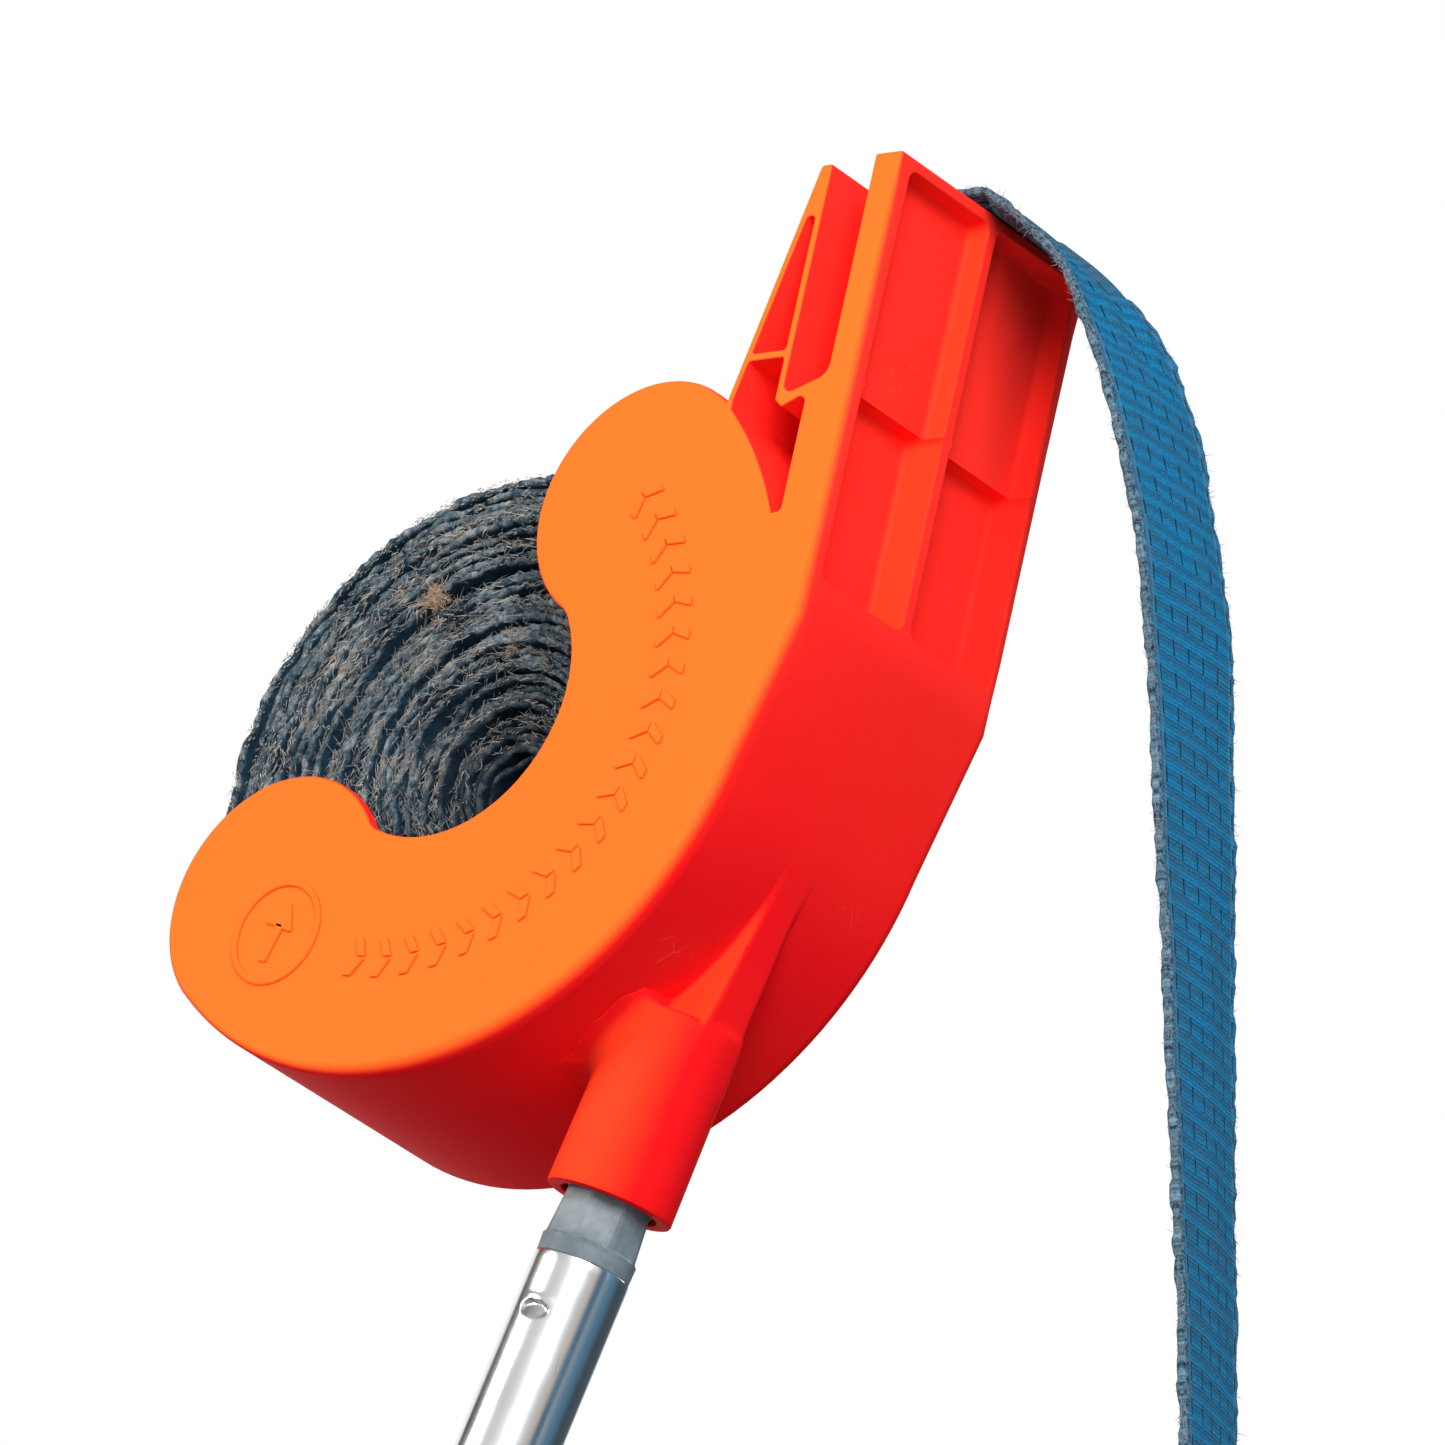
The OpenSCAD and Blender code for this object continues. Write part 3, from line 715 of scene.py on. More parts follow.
def strap_roll():
    """Eight metres of webbing on a spiral, radius growing by one thickness a turn; the weave's
    loops scallop both edges every 4.6 mm."""
    turns = math.floor((ROLL_R - ROLL_CORE) / PITCH) - 2 / 360
    last, growth = 2 * math.pi * turns, PITCH / (2 * math.pi)
    share = (ROLL_CORE * last + growth * last**2 / 2) * np.linspace(0, 1, 5800)
    angle = (np.sqrt(ROLL_CORE**2 + 2 * growth * share) - ROLL_CORE) / growth
    radius, slip = roll_shape(angle)
    middle = on_roll(radius, slip, angle)
    run = run_along(middle)
    wide = np.tile(ACROSS, (len(middle), 1))
    width = STRAP_W - 1.2 * smooth(30, 8, radius)
    # painted shade: the recessed turns nearest the core are darkened, most within 150 mm of the
    # spiral's start and fading out by 1.5 m
    core_shade = lambda s: smooth(1500, 150, s)

    def curl(u, s):
        scallop = 0.2 * np.sin(2 * math.pi * s / 4.6) + 0.3 * noise(s / 5.5, np.sign(u) * 9, 21)
        return scallop * u**8

    return webbing("strap_roll", middle, wide, width, run, curl, core_shade, 1.1, 31,
                   thick=1.7, bead=0.96, columns=3)


def roll_fuzz(rng, name, count, reach, thick):
    """Frayed threads that stand off both edges of every turn, mostly lying along the turn."""
    last = 2 * math.pi * (ROLL_R - ROLL_CORE) / PITCH
    angle = last * np.sqrt(rng.uniform(0.004, 1, count))
    radius, slip = roll_shape(angle)
    side = np.where(rng.uniform(size=count) < 0.8, -1.0, 1.0)
    inner = radius + rng.uniform(-0.8, 0.5, count)
    y = slip + side * (STRAP_W / 2 + rng.uniform(-0.9, 0.7, count))
    inner = inner - 0.6 * smooth(60, 68, radius)
    roots = on_roll(inner, y, angle)
    around = np.stack([-np.sin(angle), np.zeros(count), np.cos(angle)], 1)
    calm = (1 - 0.8 * smooth(60, 68, radius))[:, None]
    way = around * rng.choice([-1, 1], (count, 1))
    way = way + ACROSS * side[:, None] * rng.uniform(0.0, 0.5, (count, 1))
    way = unit(way + 0.3 * calm * rng.normal(size=(count, 3)))
    length = reach * rng.uniform(0.25, 1, count) * (1 - 0.6 * smooth(62, 69, radius))
    clump = smooth(-0.3, 0.6, noise(radius / 5, angle * 1.5, 17))
    # fibres on the inner turns are darker: painted shade in the recess
    shade = np.clip(0.1 + 0.7 * clump * smooth(8, 40, radius) + 0.25 * rng.normal(size=count), 0, 1)
    return fibres(name, roots, way, length, thick, rng, 0.45, shade)


def lint_tufts(rng):
    """Balls of lint and bits of bark caught between the turns: radius and angle about the roll."""
    tufts = [(50, 106, 3.4), (31, 78, 1.5), (26, -116, 2.0)]
    roots, ways = [], []
    for radius, angle, size in tufts:
        a, n = math.radians(angle), int(90 * size)
        _, slip = roll_shape(np.array([2 * math.pi * (radius - ROLL_CORE) / PITCH]))
        centre = on_roll(radius, slip[0] - STRAP_W / 2 - 0.4, a)
        roots.append(centre + rng.normal(size=(n, 3)) * size * [0.45, 0.22, 0.45])
        ways.append(unit(rng.normal(size=(n, 3))))
    roots, ways = np.vstack(roots), np.vstack(ways)
    n = len(roots)
    lengths, shades = rng.uniform(0.8, 2.4, n), rng.uniform(0, 1, n)
    return fibres("lint", roots, ways, lengths, 0.1, rng, 0.9, shades)


def fold_at(u, s):
    """A wave across the band that wanders along it."""
    return 0.9 * np.sin(2.6 * math.pi * u + 0.6) + 0.5 * noise(u * 2, s / 18, 4) - 0.3


def run_offset(u, s):
    """The run is pushed into folds where it narrows: a wave across it that grows along the run."""
    grow = smooth(60, 125, s)
    return grow * fold_at(u, s)


def tail_offset(u, s):
    """The folds open out down the tail, which keeps a slight cup and soft ripples."""
    fade = 1 - smooth(0, 70, s)
    cup = smooth(10, 80, s) * 0.9 * (u**2 - 0.4)
    return fade * fold_at(u, s + RUN_LENGTH) + cup + 0.35 * noise(u * 1.5, s / 22, 9)


def strap_run():
    middle, wide, width, run = route_points(RUN, 2.0)
    width = np.minimum(width, 50)
    # the run is darker and greyer towards its top
    darkening_along = lambda s: 0.55 + 0.35 * smooth(40, 110, s)
    return webbing("strap_run", middle, wide, width, run, run_offset, darkening_along, 0.5, 41)


def strap_tail():
    middle, wide, width, run = route_points(TAIL, 1.6)
    # painted shade: the tail's first 34 mm are darkened and greyed for the rail's shadow, and the
    # far end greys slightly
    darkening_along = lambda s: 0.9 * (1 - smooth(2, 34, s)) + 0.1 * smooth(60, 300, s)
    args = ("strap_tail", middle, wide, width, run, tail_offset, darkening_along, 0.7, 43)
    return webbing(*args, columns=34), middle


def edge_fuzz(rng, count=5200):
    """Short frayed loops along both selvedges of the run and the tail."""
    roots, ways = [], []
    for route, offset in ((RUN[8:], run_offset), (TAIL, tail_offset)):
        middle, wide, width, run = route_points(route, 0.8)
        along = unit(np.gradient(middle, axis=0))
        up = unit(np.cross(wide, along))
        n = count * len(middle) // 500
        i = rng.integers(0, len(middle), n)
        side = np.where(rng.uniform(size=n) < 0.5, -1.0, 1.0)
        shift = 90 if route is not TAIL else 0
        lift = offset(side, run[i] + shift)[:, None]
        root = middle[i] + wide[i] * (side * (width[i] / 2 - 0.5))[:, None]
        roots.append(root + up[i] * (lift + rng.uniform(-0.7, 0.7, (n, 1))))
        way = wide[i] * side[:, None] * rng.uniform(0.2, 1, (n, 1))
        way = way + along[i] * rng.normal(size=(n, 1))
        ways.append(unit(way + 0.4 * rng.normal(size=(n, 3))))
    roots, ways = np.vstack(roots), np.vstack(ways)
    n = len(roots)
    return fibres("edge_fuzz", roots, ways, rng.uniform(0.5, 1.7, n), 0.11, rng, 0.7)


def tail_end(points):
    """From the tail's end frame (out, across, up) to the head's frame."""
    a = math.radians(TAIL_TURN)
    p = np.asarray(points, float)
    x = p[..., 0] * math.cos(a) - p[..., 1] * math.sin(a)
    y = p[..., 0] * math.sin(a) + p[..., 1] * math.cos(a)
    end = TAIL[-1]
    return np.stack([x + end[0], y + end[2], p[..., 2] + end[1]], -1)


def strap_eye():
    """The webbing doubled back round the hook's bar: a teardrop wall carried across the width."""
    hole, t = WIRE_R + 0.35, STRAP_T
    outer_r = hole + t
    a = np.radians(np.linspace(35, -215, 34))
    outer = np.stack([outer_r * np.cos(a), outer_r * np.sin(a) - EYE_DROP], 1)
    inner = np.stack([hole * np.cos(a), hole * np.sin(a) - EYE_DROP], 1)
    lap = t * 1.05
    outline = np.vstack([[lap, 0.6], [lap, -12], outer, [-lap, -12], [-lap, 0.6]])
    levels = rounded_ends(-STRAP_W / 2, STRAP_W / 2, 0.35, 3)
    place = lambda p: in_head(tail_end(np.stack([p[:, 0], p[:, 2], p[:, 1]], 1)))
    solid = prism(outline, levels, place)
    throat = np.array([[0.15, -EYE_DROP + 12], [-0.15, -EYE_DROP + 12]])
    hole_line = np.vstack([inner, throat])
    solid = cut("eye", solid, [prism(hole_line, [(-40, 0), (40, 0)], place)])
    return crease(solid, 40)


def eye_stitches():
    """A boxed cross of thick thread on both faces of the lap."""
    threads = []
    box = np.array([(-19, -17), (19, -17), (19, -3), (-19, -3)], float)
    for first, last in ((0, 1), (1, 2), (2, 3), (3, 0), (0, 2), (3, 1)):
        start, end = box[first], box[last]
        count = max(2, int(np.linalg.norm(end - start) / 3.4))
        for i in range(count):
            a, b = (start + (end - start) * (i + part) / count for part in (0.12, 0.88))
            for face in (-1, 1):
                t = np.linspace(0, 1, 6)[:, None]
                flat = a + (b - a) * t
                out = face * (STRAP_T * 1.05 - 0.1 + 0.45 * np.sin(math.pi * t[:, 0]))
                line = np.stack([out, flat[:, 0], flat[:, 1]], 1)
                threads.append(tube_points(line, 0.38, 6))
    points = np.vstack([p for p, _ in threads])
    size = len(threads[0][0])
    faces = [[i + n * size for i in side] for n, (_, one) in enumerate(threads) for side in one]
    return make_mesh("eye_stitches", in_head(tail_end(points)), faces)


def rings_round(line, side, other, radius, sides):
    """Rings in the plane of side and other at each point of a line, and both ends closed."""
    a = np.arange(sides) * 2 * math.pi / sides
    spoke = side[:, None] * np.cos(a)[:, None] + other[:, None] * np.sin(a)[:, None]
    girth = np.broadcast_to(radius, len(line))[:, None, None]
    return (line[:, None] + girth * spoke).reshape(-1, 3), capped(len(line), sides)


def tube_points(line, radius, sides):
    """A tube round a short line in one plane."""
    along = unit(np.gradient(line, axis=0))
    side = unit(np.cross(along, np.roll(along[:1], 1, 1) + [0.01, 0.02, 0.03]))
    other = np.cross(along, side)
    return rings_round(line, unit(np.cross(other, along)), other, radius, sides)


def strap_hook():
    """One bent wire from claw tip to claw tip: tip, claw, leg, corner, bar, and the same again."""
    bar_half, corner_r, leg, claw_r, tip = STRAP_W / 2 + 3, 8, 34, 13, 18
    hang = math.radians(15)
    bend = lambda n: np.linspace(0, 1, n)
    side_y = bar_half + corner_r
    foot = -corner_r - leg
    half = [
        np.stack([np.full(8, 2 * claw_r), np.full(8, side_y), foot + tip * (1 - bend(8))], 1),
        np.stack([claw_r + claw_r * np.cos(math.pi * bend(28)[1:]), np.full(27, side_y),
                  foot - claw_r * np.sin(math.pi * bend(28)[1:])], 1),
        np.stack([np.zeros(12), np.full(12, side_y), foot + leg * bend(13)[1:]], 1),
        np.stack([np.zeros(11), bar_half + corner_r * np.cos(math.pi / 2 * bend(12)[1:]),
                  -corner_r + corner_r * np.sin(math.pi / 2 * bend(12)[1:])], 1),
    ]
    half = np.vstack(half)
    bar = np.stack([np.zeros(9), bar_half - 2 * bar_half * bend(11)[1:-1], np.zeros(9)], 1)
    line = np.vstack([half, bar, (half * [1, -1, 1])[::-1]])
    run = run_along(line)
    line = np.stack([np.interp(np.linspace(0, run[-1], 300), run, line[:, i]) for i in range(3)], 1)
    run = np.linspace(0, run[-1], 300)
    tip_in = np.minimum(run, run[-1] - run)
    radius = WIRE_R * np.sqrt(np.clip(1 - (1 - np.clip(tip_in / 2.4 + 0.12, 0, 1)) ** 2, 0.05, 1))
    x = line[:, 0] * math.cos(hang) + line[:, 2] * math.sin(hang)
    z = -line[:, 0] * math.sin(hang) + line[:, 2] * math.cos(hang)
    placed = np.stack([x, line[:, 1], z - EYE_DROP], 1)
    points, faces = swept(placed, radius, 24)
    return make_mesh("strap_hook", in_head(tail_end(points)), faces)


def swept(line, radius, sides):
    """A tube carried along a line without twist: each ring's side is the one before, squared to
    the line's direction."""
    along = unit(np.gradient(line, axis=0))
    side = np.empty_like(along)
    side[0] = unit(np.cross(along[0], [0.3, 0.9, 0.1]))
    for i in range(1, len(line)):
        side[i] = unit(side[i - 1] - along[i] * (side[i - 1] @ along[i]))
    return rings_round(line, side, np.cross(along, side), radius, sides)


# ---- pole ----

def lathe(name, profile, change=None, turns=128, hollow=True):
    """A profile of (radius, height) pairs carried round the pole; change(radius, angle, height)
    may move the surface in or out."""
    t = np.arange(turns) * 2 * math.pi / turns
    p = np.asarray(profile, float)
    radius = np.repeat(p[:, :1], turns, 1)
    height = np.repeat(p[:, 1:], turns, 1)
    if change is not None:
        radius = change(radius, t[None], height)
    points = np.stack([radius * np.cos(t), radius * np.sin(t), height], -1).reshape(-1, 3)
    faces = grid_faces(len(p), turns, round_rows=True) if hollow else capped(len(p), turns)
    return make_mesh(name, in_pole(points), faces)


def heights(low, high, step):
    return np.linspace(low, high, max(2, int(round(abs(high - low) / step)) + 1))


DIMPLE = (TUBE_TOP - 13.5, math.radians(-80))


def dimpled(radius, angle, height):
    """The crimp that holds the tip: an oval dent with a steep upper lip and a long lower slope."""
    level, bearing_of = DIMPLE
    around = np.angle(np.exp(1j * (angle - bearing_of))) * TUBE_R / 4.0
    up = (height - level) / 2.9
    reach = np.clip(1 - around**2 - np.where(up > 0, (up * 1.5) ** 2, up**2), 0, 1)
    dent = 1.3 * smooth(0, 0.55, reach) * np.clip(0.55 + 0.6 * up, 0.12, 1)
    lip = 0.22 * np.exp(-(((up - 0.9) / 0.25) ** 2)) * np.clip(1 - around**2, 0, 1)
    return radius - (dent - lip) * (radius > 10.5)


def inner_tube():
    fine = heights(TUBE_TOP - 8, TUBE_TOP - 20, 0.35)
    coarse = heights(TUBE_TOP - 2, TUBE_TOP - 7.5, 3), heights(TUBE_TOP - 30, TUBE_BOTTOM, 60)
    outer = [(10.7, TUBE_TOP), (10.92, TUBE_TOP - 0.12), (TUBE_R, TUBE_TOP - 0.4)]
    outer += [(TUBE_R, h) for h in np.concatenate([coarse[0], fine, coarse[1]])]
    inner = [(9.8, TUBE_BOTTOM), (9.8, TUBE_TOP - 40), (9.8, TUBE_TOP), (10.0, TUBE_TOP)]
    return crease(lathe("inner_tube", outer + inner, dimpled, turns=192), 40)


def tip_shape(radius, angle, height):
    """Eight flats cut the tip's upper cone: the radius is the least of cone and flats."""
    level = height - MOUTH
    flat_at = 10.35 - 0.08 * (level + 10.5)
    fold = np.mod(angle - math.radians(-135) + math.pi / 8, math.pi / 4) - math.pi / 8
    flat = flat_at / np.cos(fold)
    on = smooth(-10.9, -10.3, level) * (1 - smooth(0.5, 1.5, level))
    cut_in = np.minimum(radius, flat)
    return radius * (1 - on) + cut_in * on


def pole_tip():
    levels = [(9.75, -46), (9.75, -16), (9.75, -15.05), (10.5, -15.0), (10.75, -14.8)]
    levels += [(10.8 + 0.03 * (h + 14), h) for h in heights(-14, -11.2, 0.7)]
    levels += [(10.95, -10.9), (10.9, -10.6), (10.9, -10.3)]
    levels += [(10.9 - 0.075 * (h + 10), h) for h in heights(-10, 0.5, 0.7)]
    levels += [(10.2, 1.5), (11.0, 3), (11.04, 4), (11.04, 26.5), (10.2, 28)]
    profile = [(r, h + MOUTH) for r, h in levels]
    return crease(lathe("pole_tip", profile, tip_shape, turns=256, hollow=False), 12)


def nut_ribs(radius, angle, height):
    """Eighteen rounded ribs that fade out below the nut's shoulder."""
    low, high = NUT_TOP - 44, NUT_TOP - 9
    wave = np.clip(np.cos(18 * angle), 0, 1) ** 0.7
    on = smooth(low, low + 3, height) * (1 - smooth(high - 3, high, height))
    return radius + (radius > 16) * 1.5 * wave * on


def lock_nut():
    low = NUT_TOP - 46
    outer = [(16.0, low), (16.5, low + 0.4)]
    outer += [(16.5, h) for h in heights(low + 1, NUT_TOP - 8, 1.2)]
    outer += [(16.3, NUT_TOP - 7), (14.8, NUT_TOP - 0.8), (14.4, NUT_TOP - 0.2), (13.9, NUT_TOP)]
    inner = [(13.0, NUT_TOP), (12.8, NUT_TOP - 0.2), (12.8, NUT_TOP - 4), (13.45, NUT_TOP - 4),
             (13.45, NUT_TOP - 16), (15.05, NUT_TOP - 16), (15.05, low)]
    return crease(lathe("lock_nut", outer + inner, nut_ribs, turns=288), 35)


def grip_pattern(radius, angle, height):
    """Shallow lozenges where two sets of spiral grooves cross, faded at the grip's ends."""
    turns_per_mm = 1 / 46
    a = np.sin(9 * (angle + 2 * math.pi * height * turns_per_mm))
    b = np.sin(9 * (angle - 2 * math.pi * height * turns_per_mm))
    groove = np.clip(np.maximum(smooth(0.72, 1, a), smooth(0.72, 1, b)), 0, 1)
    on = 1 - smooth(58, 62, np.abs(height))
    ring = np.abs(height) > 62
    bead = 0.45 * np.cos(2 * math.pi * height / 3) * ring * (np.abs(height) < 73)
    return radius + (radius > 14) * (bead - 0.7 * groove * on)


def hand_grip():
    profile = [(15.2, -75), (15.7, -74.4)] + [(15.75, h) for h in heights(-74, 74, 0.8)]
    profile += [(15.7, 74.4), (15.2, 75), (12.75, 75), (12.75, -75)]
    return lathe("hand_grip", profile, grip_pattern, turns=216)


# ---- materials ----

def tone(code):
    """An sRGB hex value as linear red, green, blue and alpha."""
    raw = [int(code[i:i + 2], 16) / 255 for i in (1, 3, 5)]
    return [c / 12.92 if c <= 0.04045 else ((c + 0.055) / 1.055) ** 2.4 for c in raw] + [1.0]


def feed(tree, socket, value):
    """Link a value to a socket, or set the socket to a constant."""
    if isinstance(value, Value):
        tree.links.new(value.socket, socket)
    else:
        socket.default_value = value


def node(tree, kind, inputs=None, output=0, **settings):
    """The chosen output of a new shader node with its inputs and settings."""
    made = tree.nodes.new("ShaderNode" + kind)
    for key, value in settings.items():
        setattr(made, key, value)
    for key, value in (inputs or {}).items():
        feed(tree, made.inputs[key], value)
    return Value(tree, made.outputs[output]) if len(made.outputs) else None


class Value:
    """A node's output. Arithmetic on it adds Math nodes, and the methods add others."""

    def __init__(self, tree, socket):
        self.tree, self.socket = tree, socket

    def math(self, operation, other=0.0, **settings):
        return node(self.tree, "Math", {0: self, 1: other}, operation=operation, **settings)

    def __add__(self, other):
        return self.math("ADD", other)

    def __sub__(self, other):
        return self.math("SUBTRACT", other)

    def __mul__(self, other):
        return self.math("MULTIPLY", other)

    def __truediv__(self, other):
        return self.math("DIVIDE", other)

    def __abs__(self):
        return self.math("ABSOLUTE")

    def remap(self, low=0.0, high=1.0, first=0.0, last=1.0):
        """First at low, last at high, straight between and held beyond."""
        return node(self.tree, "MapRange", {0: self, 1: low, 2: high, 3: first, 4: last})

    def mix(self, first, second):
        """The first colour where this is 0 and the second where it is 1."""
        return node(self.tree, "Mix", {0: self, 6: first, 7: second}, 2, data_type="RGBA")

    def split(self):
        made = self.tree.nodes.new("ShaderNodeSeparateXYZ")
        feed(self.tree, made.inputs[0], self)
        return [Value(self.tree, socket) for socket in made.outputs]

    def mapped(self, scale=(1.0, 1.0, 1.0), turn=(0.0, 0.0, 0.0)):
        return node(self.tree, "Mapping", {0: self, 2: turn, 3: scale})

    def noise(self, scale, detail, roughness=0.5):
        inputs = {"Vector": self, "Scale": scale, "Detail": detail, "Roughness": roughness}
        return node(self.tree, "TexNoise", inputs, "Fac")

    def cracks(self, scale, width):
        """1 on the borders between random cells, 0 from the width away."""
        inputs = {"Vector": self, "Scale": scale}
        edge = node(self.tree, "TexVoronoi", inputs, "Distance", feature="DISTANCE_TO_EDGE")
        return edge.remap(0, width, 1, 0)

    def ramp(self, stops):
        """A colour ramp through (position, code) stops, the first at 0 and the last at 1."""
        made = self.tree.nodes.new("ShaderNodeValToRGB")
        feed(self.tree, made.inputs[0], self)
        track = made.color_ramp.elements
        track[0].color, track[1].color = tone(stops[0][1]), tone(stops[-1][1])
        for position, code in stops[1:-1]:
            track.new(position).color = tone(code)
        return Value(self.tree, made.outputs[0])


def start_material(name, **constants):
    """A new material and its tree, with the shader's constant values set."""
    material = bpy.data.materials.new(name)
    material.use_nodes = True
    surface(material.node_tree, **constants)
    return material, material.node_tree


def surface(tree, relief=None, strength=1.0, depth=0.001, **inputs):
    """Feed the shader's sockets, named with underscores, and bump it by a relief."""
    shader = tree.nodes["Principled BSDF"]
    for key, value in inputs.items():
        feed(tree, shader.inputs[key.replace("_", " ")], value)
    if relief is not None:
        bump = {"Strength": strength, "Distance": depth, "Height": relief}
        feed(tree, shader.inputs["Normal"], node(tree, "Bump", bump))


def coordinates(tree, kind="Object"):
    return node(tree, "TexCoord", output=kind)


def stored(tree, name):
    """A value stored on the mesh's points."""
    return node(tree, "Attribute", output="Fac", attribute_name=name)


def printed_petg():
    """Fused-filament orange PETG. The two broad faces, printed flat, are smooth and yellower, that
    yellower tone partly painted light for the strongly lit near cheek; the walls round them show
    the layers and read redder, turning a deeper red towards the bottom as painted shade on the
    underside."""
    material, tree = start_material("printed_orange_petg", IOR=1.15, Specular_IOR_Level=0.05,
                                    Specular_Tint=tone("#FF5A48"))
    where = coordinates(tree)
    _, across, up = where.split()
    # 1 on the faces that point outwards, and on anything raised from them; faces inside the cheeks,
    # such as the socket's sides, get 0.28 of it. Their yellower orange is partly the flat-printed
    # finish and partly painted light for the strongly lit near cheek and socket.
    facing = coordinates(tree, "Normal").split()[1] * across.math("SIGN")
    outermost = abs(across).remap(0.0305, 0.0332, 0.28, 1)
    raised_part = abs(across).remap(0.03402, 0.03412)
    broad = (facing.remap(0.45, 0.97) * outermost).math("MAXIMUM", raised_part)
    patch = where.noise(30, 4)
    # painted shade: the walls darken to a deeper red towards the bottom of the head, where it faces
    # down
    wall = up.remap(0.56, 0.64).mix(tone("#F00C1E"), tone("#FF2F2A"))
    wall = (patch * 0.25).mix(wall, tone("#FF4020"))
    colour = broad.mix(wall, tone("#FF6C28"))
    # layers are 0.25 mm thick; they are drawn coarser than that so that they show
    bands = {"Vector": where, "Scale": 196, "Distortion": 0.4, "Detail": 2, "Detail Scale": 0.4}
    layers = node(tree, "TexWave", bands, "Fac", wave_type="BANDS", bands_direction="Z")
    grain = where.noise(1500, 3)
    # thin scratches: the borders of stretched cells, kept only in a few patches
    scratch = where.mapped((40, 260, 90), (0.3, 0.5, 0.9)).cracks(1, 0.012) * patch.remap(0.63, 0.7)
    colour = (scratch * 0.22).mix(colour, tone("#FFA070"))
    surface(tree, layers * 0.5 + grain + scratch * 1.5, broad.remap(0, 1, 0.14, 0.05), 0.0002,
            Base_Color=colour, Roughness=grain.remap(0, 1, 0.42, 0.56))
    return material


def woven_polyester():
    """Ratchet-strap polyester: warp cords run along, a twill slants across, slits stand in
    staggered columns, a pale cord lies inside each selvedge, and wear greys it all in patches; at
    the tail's top, painted shade darkens and greys it where the rail shades it."""
    material, tree = start_material("woven_polyester_webbing", Roughness=0.9, IOR=1.3,
                                    Specular_IOR_Level=0.1)
    uv = node(tree, "UVMap", uv_map="UVMap")
    mm = node(tree, "VectorMath", {0: uv, 3: 100}, operation="SCALE")
    across, along, _ = mm.split()
    rim, darkening = stored(tree, "rim"), stored(tree, "darkening")
    blotch = mm.noise(0.07, 5, 0.6)
    fluff = mm.mapped((1.6, 0.5, 1)).noise(1.1, 6, 0.7)
    # columns of slits, each slit half of its repeat and stepped from column to column
    slit_repeat = 8.6
    column = across / slit_repeat
    in_column = abs(column.math("FRACT") - 0.5)
    in_row = abs((along / slit_repeat + column.math("FLOOR") * 0.27).math("FRACT") - 0.5)
    slit = in_column.remap(0.02, 0.06, 1, 0) * in_row.remap(0.2, 0.27, 1, 0)
    # the twill's ridges slant across, with finer picks and cords between them
    twill_mm, cord_mm, pick_mm = 4.3, 1.1, 1.07
    slant = along + across * 0.3
    wobble = fluff * 3 + blotch * 5
    ridge = (slant * (2 * math.pi / twill_mm) + wobble).math("SINE")
    cord = (across * (2 * math.pi / cord_mm)).math("SINE")
    pick = (slant * (2 * math.pi / pick_mm)).math("SINE")
    edge = abs(across / (STRAP_W / 2) - 1)
    base = (ridge + fluff * 1.2).remap(-0.4, 1.4).mix(tone("#006699"), tone("#027EB6"))
    # wear patches, also grown by the stored darkening mark, which at the tail's top is painted
    # shade
    wear_and_shade = (blotch * 1.2 + fluff * 0.9 - ridge * 0.1 + darkening * 0.5).remap(0.88, 1.45, 0, 0.9)
    base = wear_and_shade.mix(base, tone("#2C6080"))
    # loose filaments that lie across the weave, about 1.2 mm by 0.3 mm each
    speck = mm.mapped((0.8, 3.2, 1), (0, 0, 0.35)).noise(1, 3, 0.6).remap(0.5, 0.7, 0, 0.42)
    base = speck.mix(base, tone("#6C9DB8"))
    inside_edge = abs(edge - 0.875).remap(0.01, 0.05, 1, 0)
    base = (inside_edge * (fluff * 1.1)).mix(base, tone("#5D88A4"))
    lint = fluff.remap(0.4, 0.62)
    frayed = lint.mix(tone("#142738"), tone("#6F8DA0"))
    base = (edge.remap(0.93, 0.97) * 0.92).mix(base, frayed)
    # the stored darkening mark turns the webbing dark grey: painted shade at the tail's top under
    # the rail, and a greying along the run
    base = (darkening * 0.75).mix(base, lint.mix(tone("#1A2B3A"), tone("#74889A")))
    base = (slit * 0.8).mix(base, tone("#08202F"))
    relief = ridge * 0.4 + (cord + pick) * 0.25 + fluff * 1.6 - slit * 2.2
    surface(tree, relief, 0.8, 0.0004, Base_Color=base)
    return material


def worn_roll_webbing():
    """The same webbing after years of throws: in the gaps between turns a navy far darker than its
    own blue, as painted shade; grey and straw lint on the edges, in streaks that follow the turns."""
    material, tree = start_material("worn_polyester_webbing", Roughness=0.95, IOR=1.3,
                                    Specular_IOR_Level=0.1)
    where, crest = coordinates(tree), stored(tree, "rim")
    streak = node(tree, "UVMap", uv_map="UVMap").mapped((60, 26, 1)).noise(1, 5, 0.6)
    clump = where.noise(95, 4, 0.6)
    fine = where.noise(800, 5, 0.75)
    pale = streak * 0.85 + (clump * 0.9 + fine * 0.7) + crest * 0.16
    lint = pale.remap(1, 1.85).ramp([(0, "#0A1420"), (0.25, "#20333F"), (0.45, "#4C5F6C"),
                                     (0.62, "#7E888E"), (0.82, "#B8AFA4"), (1, "#E2D5C4")])
    # painted shade: the gaps between turns take a navy far darker than the webbing's own blue
    gap = clump.mix(tone("#0A1A28"), tone("#24465C"))
    colour = crest.remap(0.2, 0.75).mix(gap, lint)
    # painted shade: the recessed inner turns near the core are darkened almost to black
    colour = (stored(tree, "darkening") * 0.7).mix(colour, tone("#10161F"))
    surface(tree, streak + fine * 0.9, 0.9, 0.0008, Base_Color=colour)
    return material


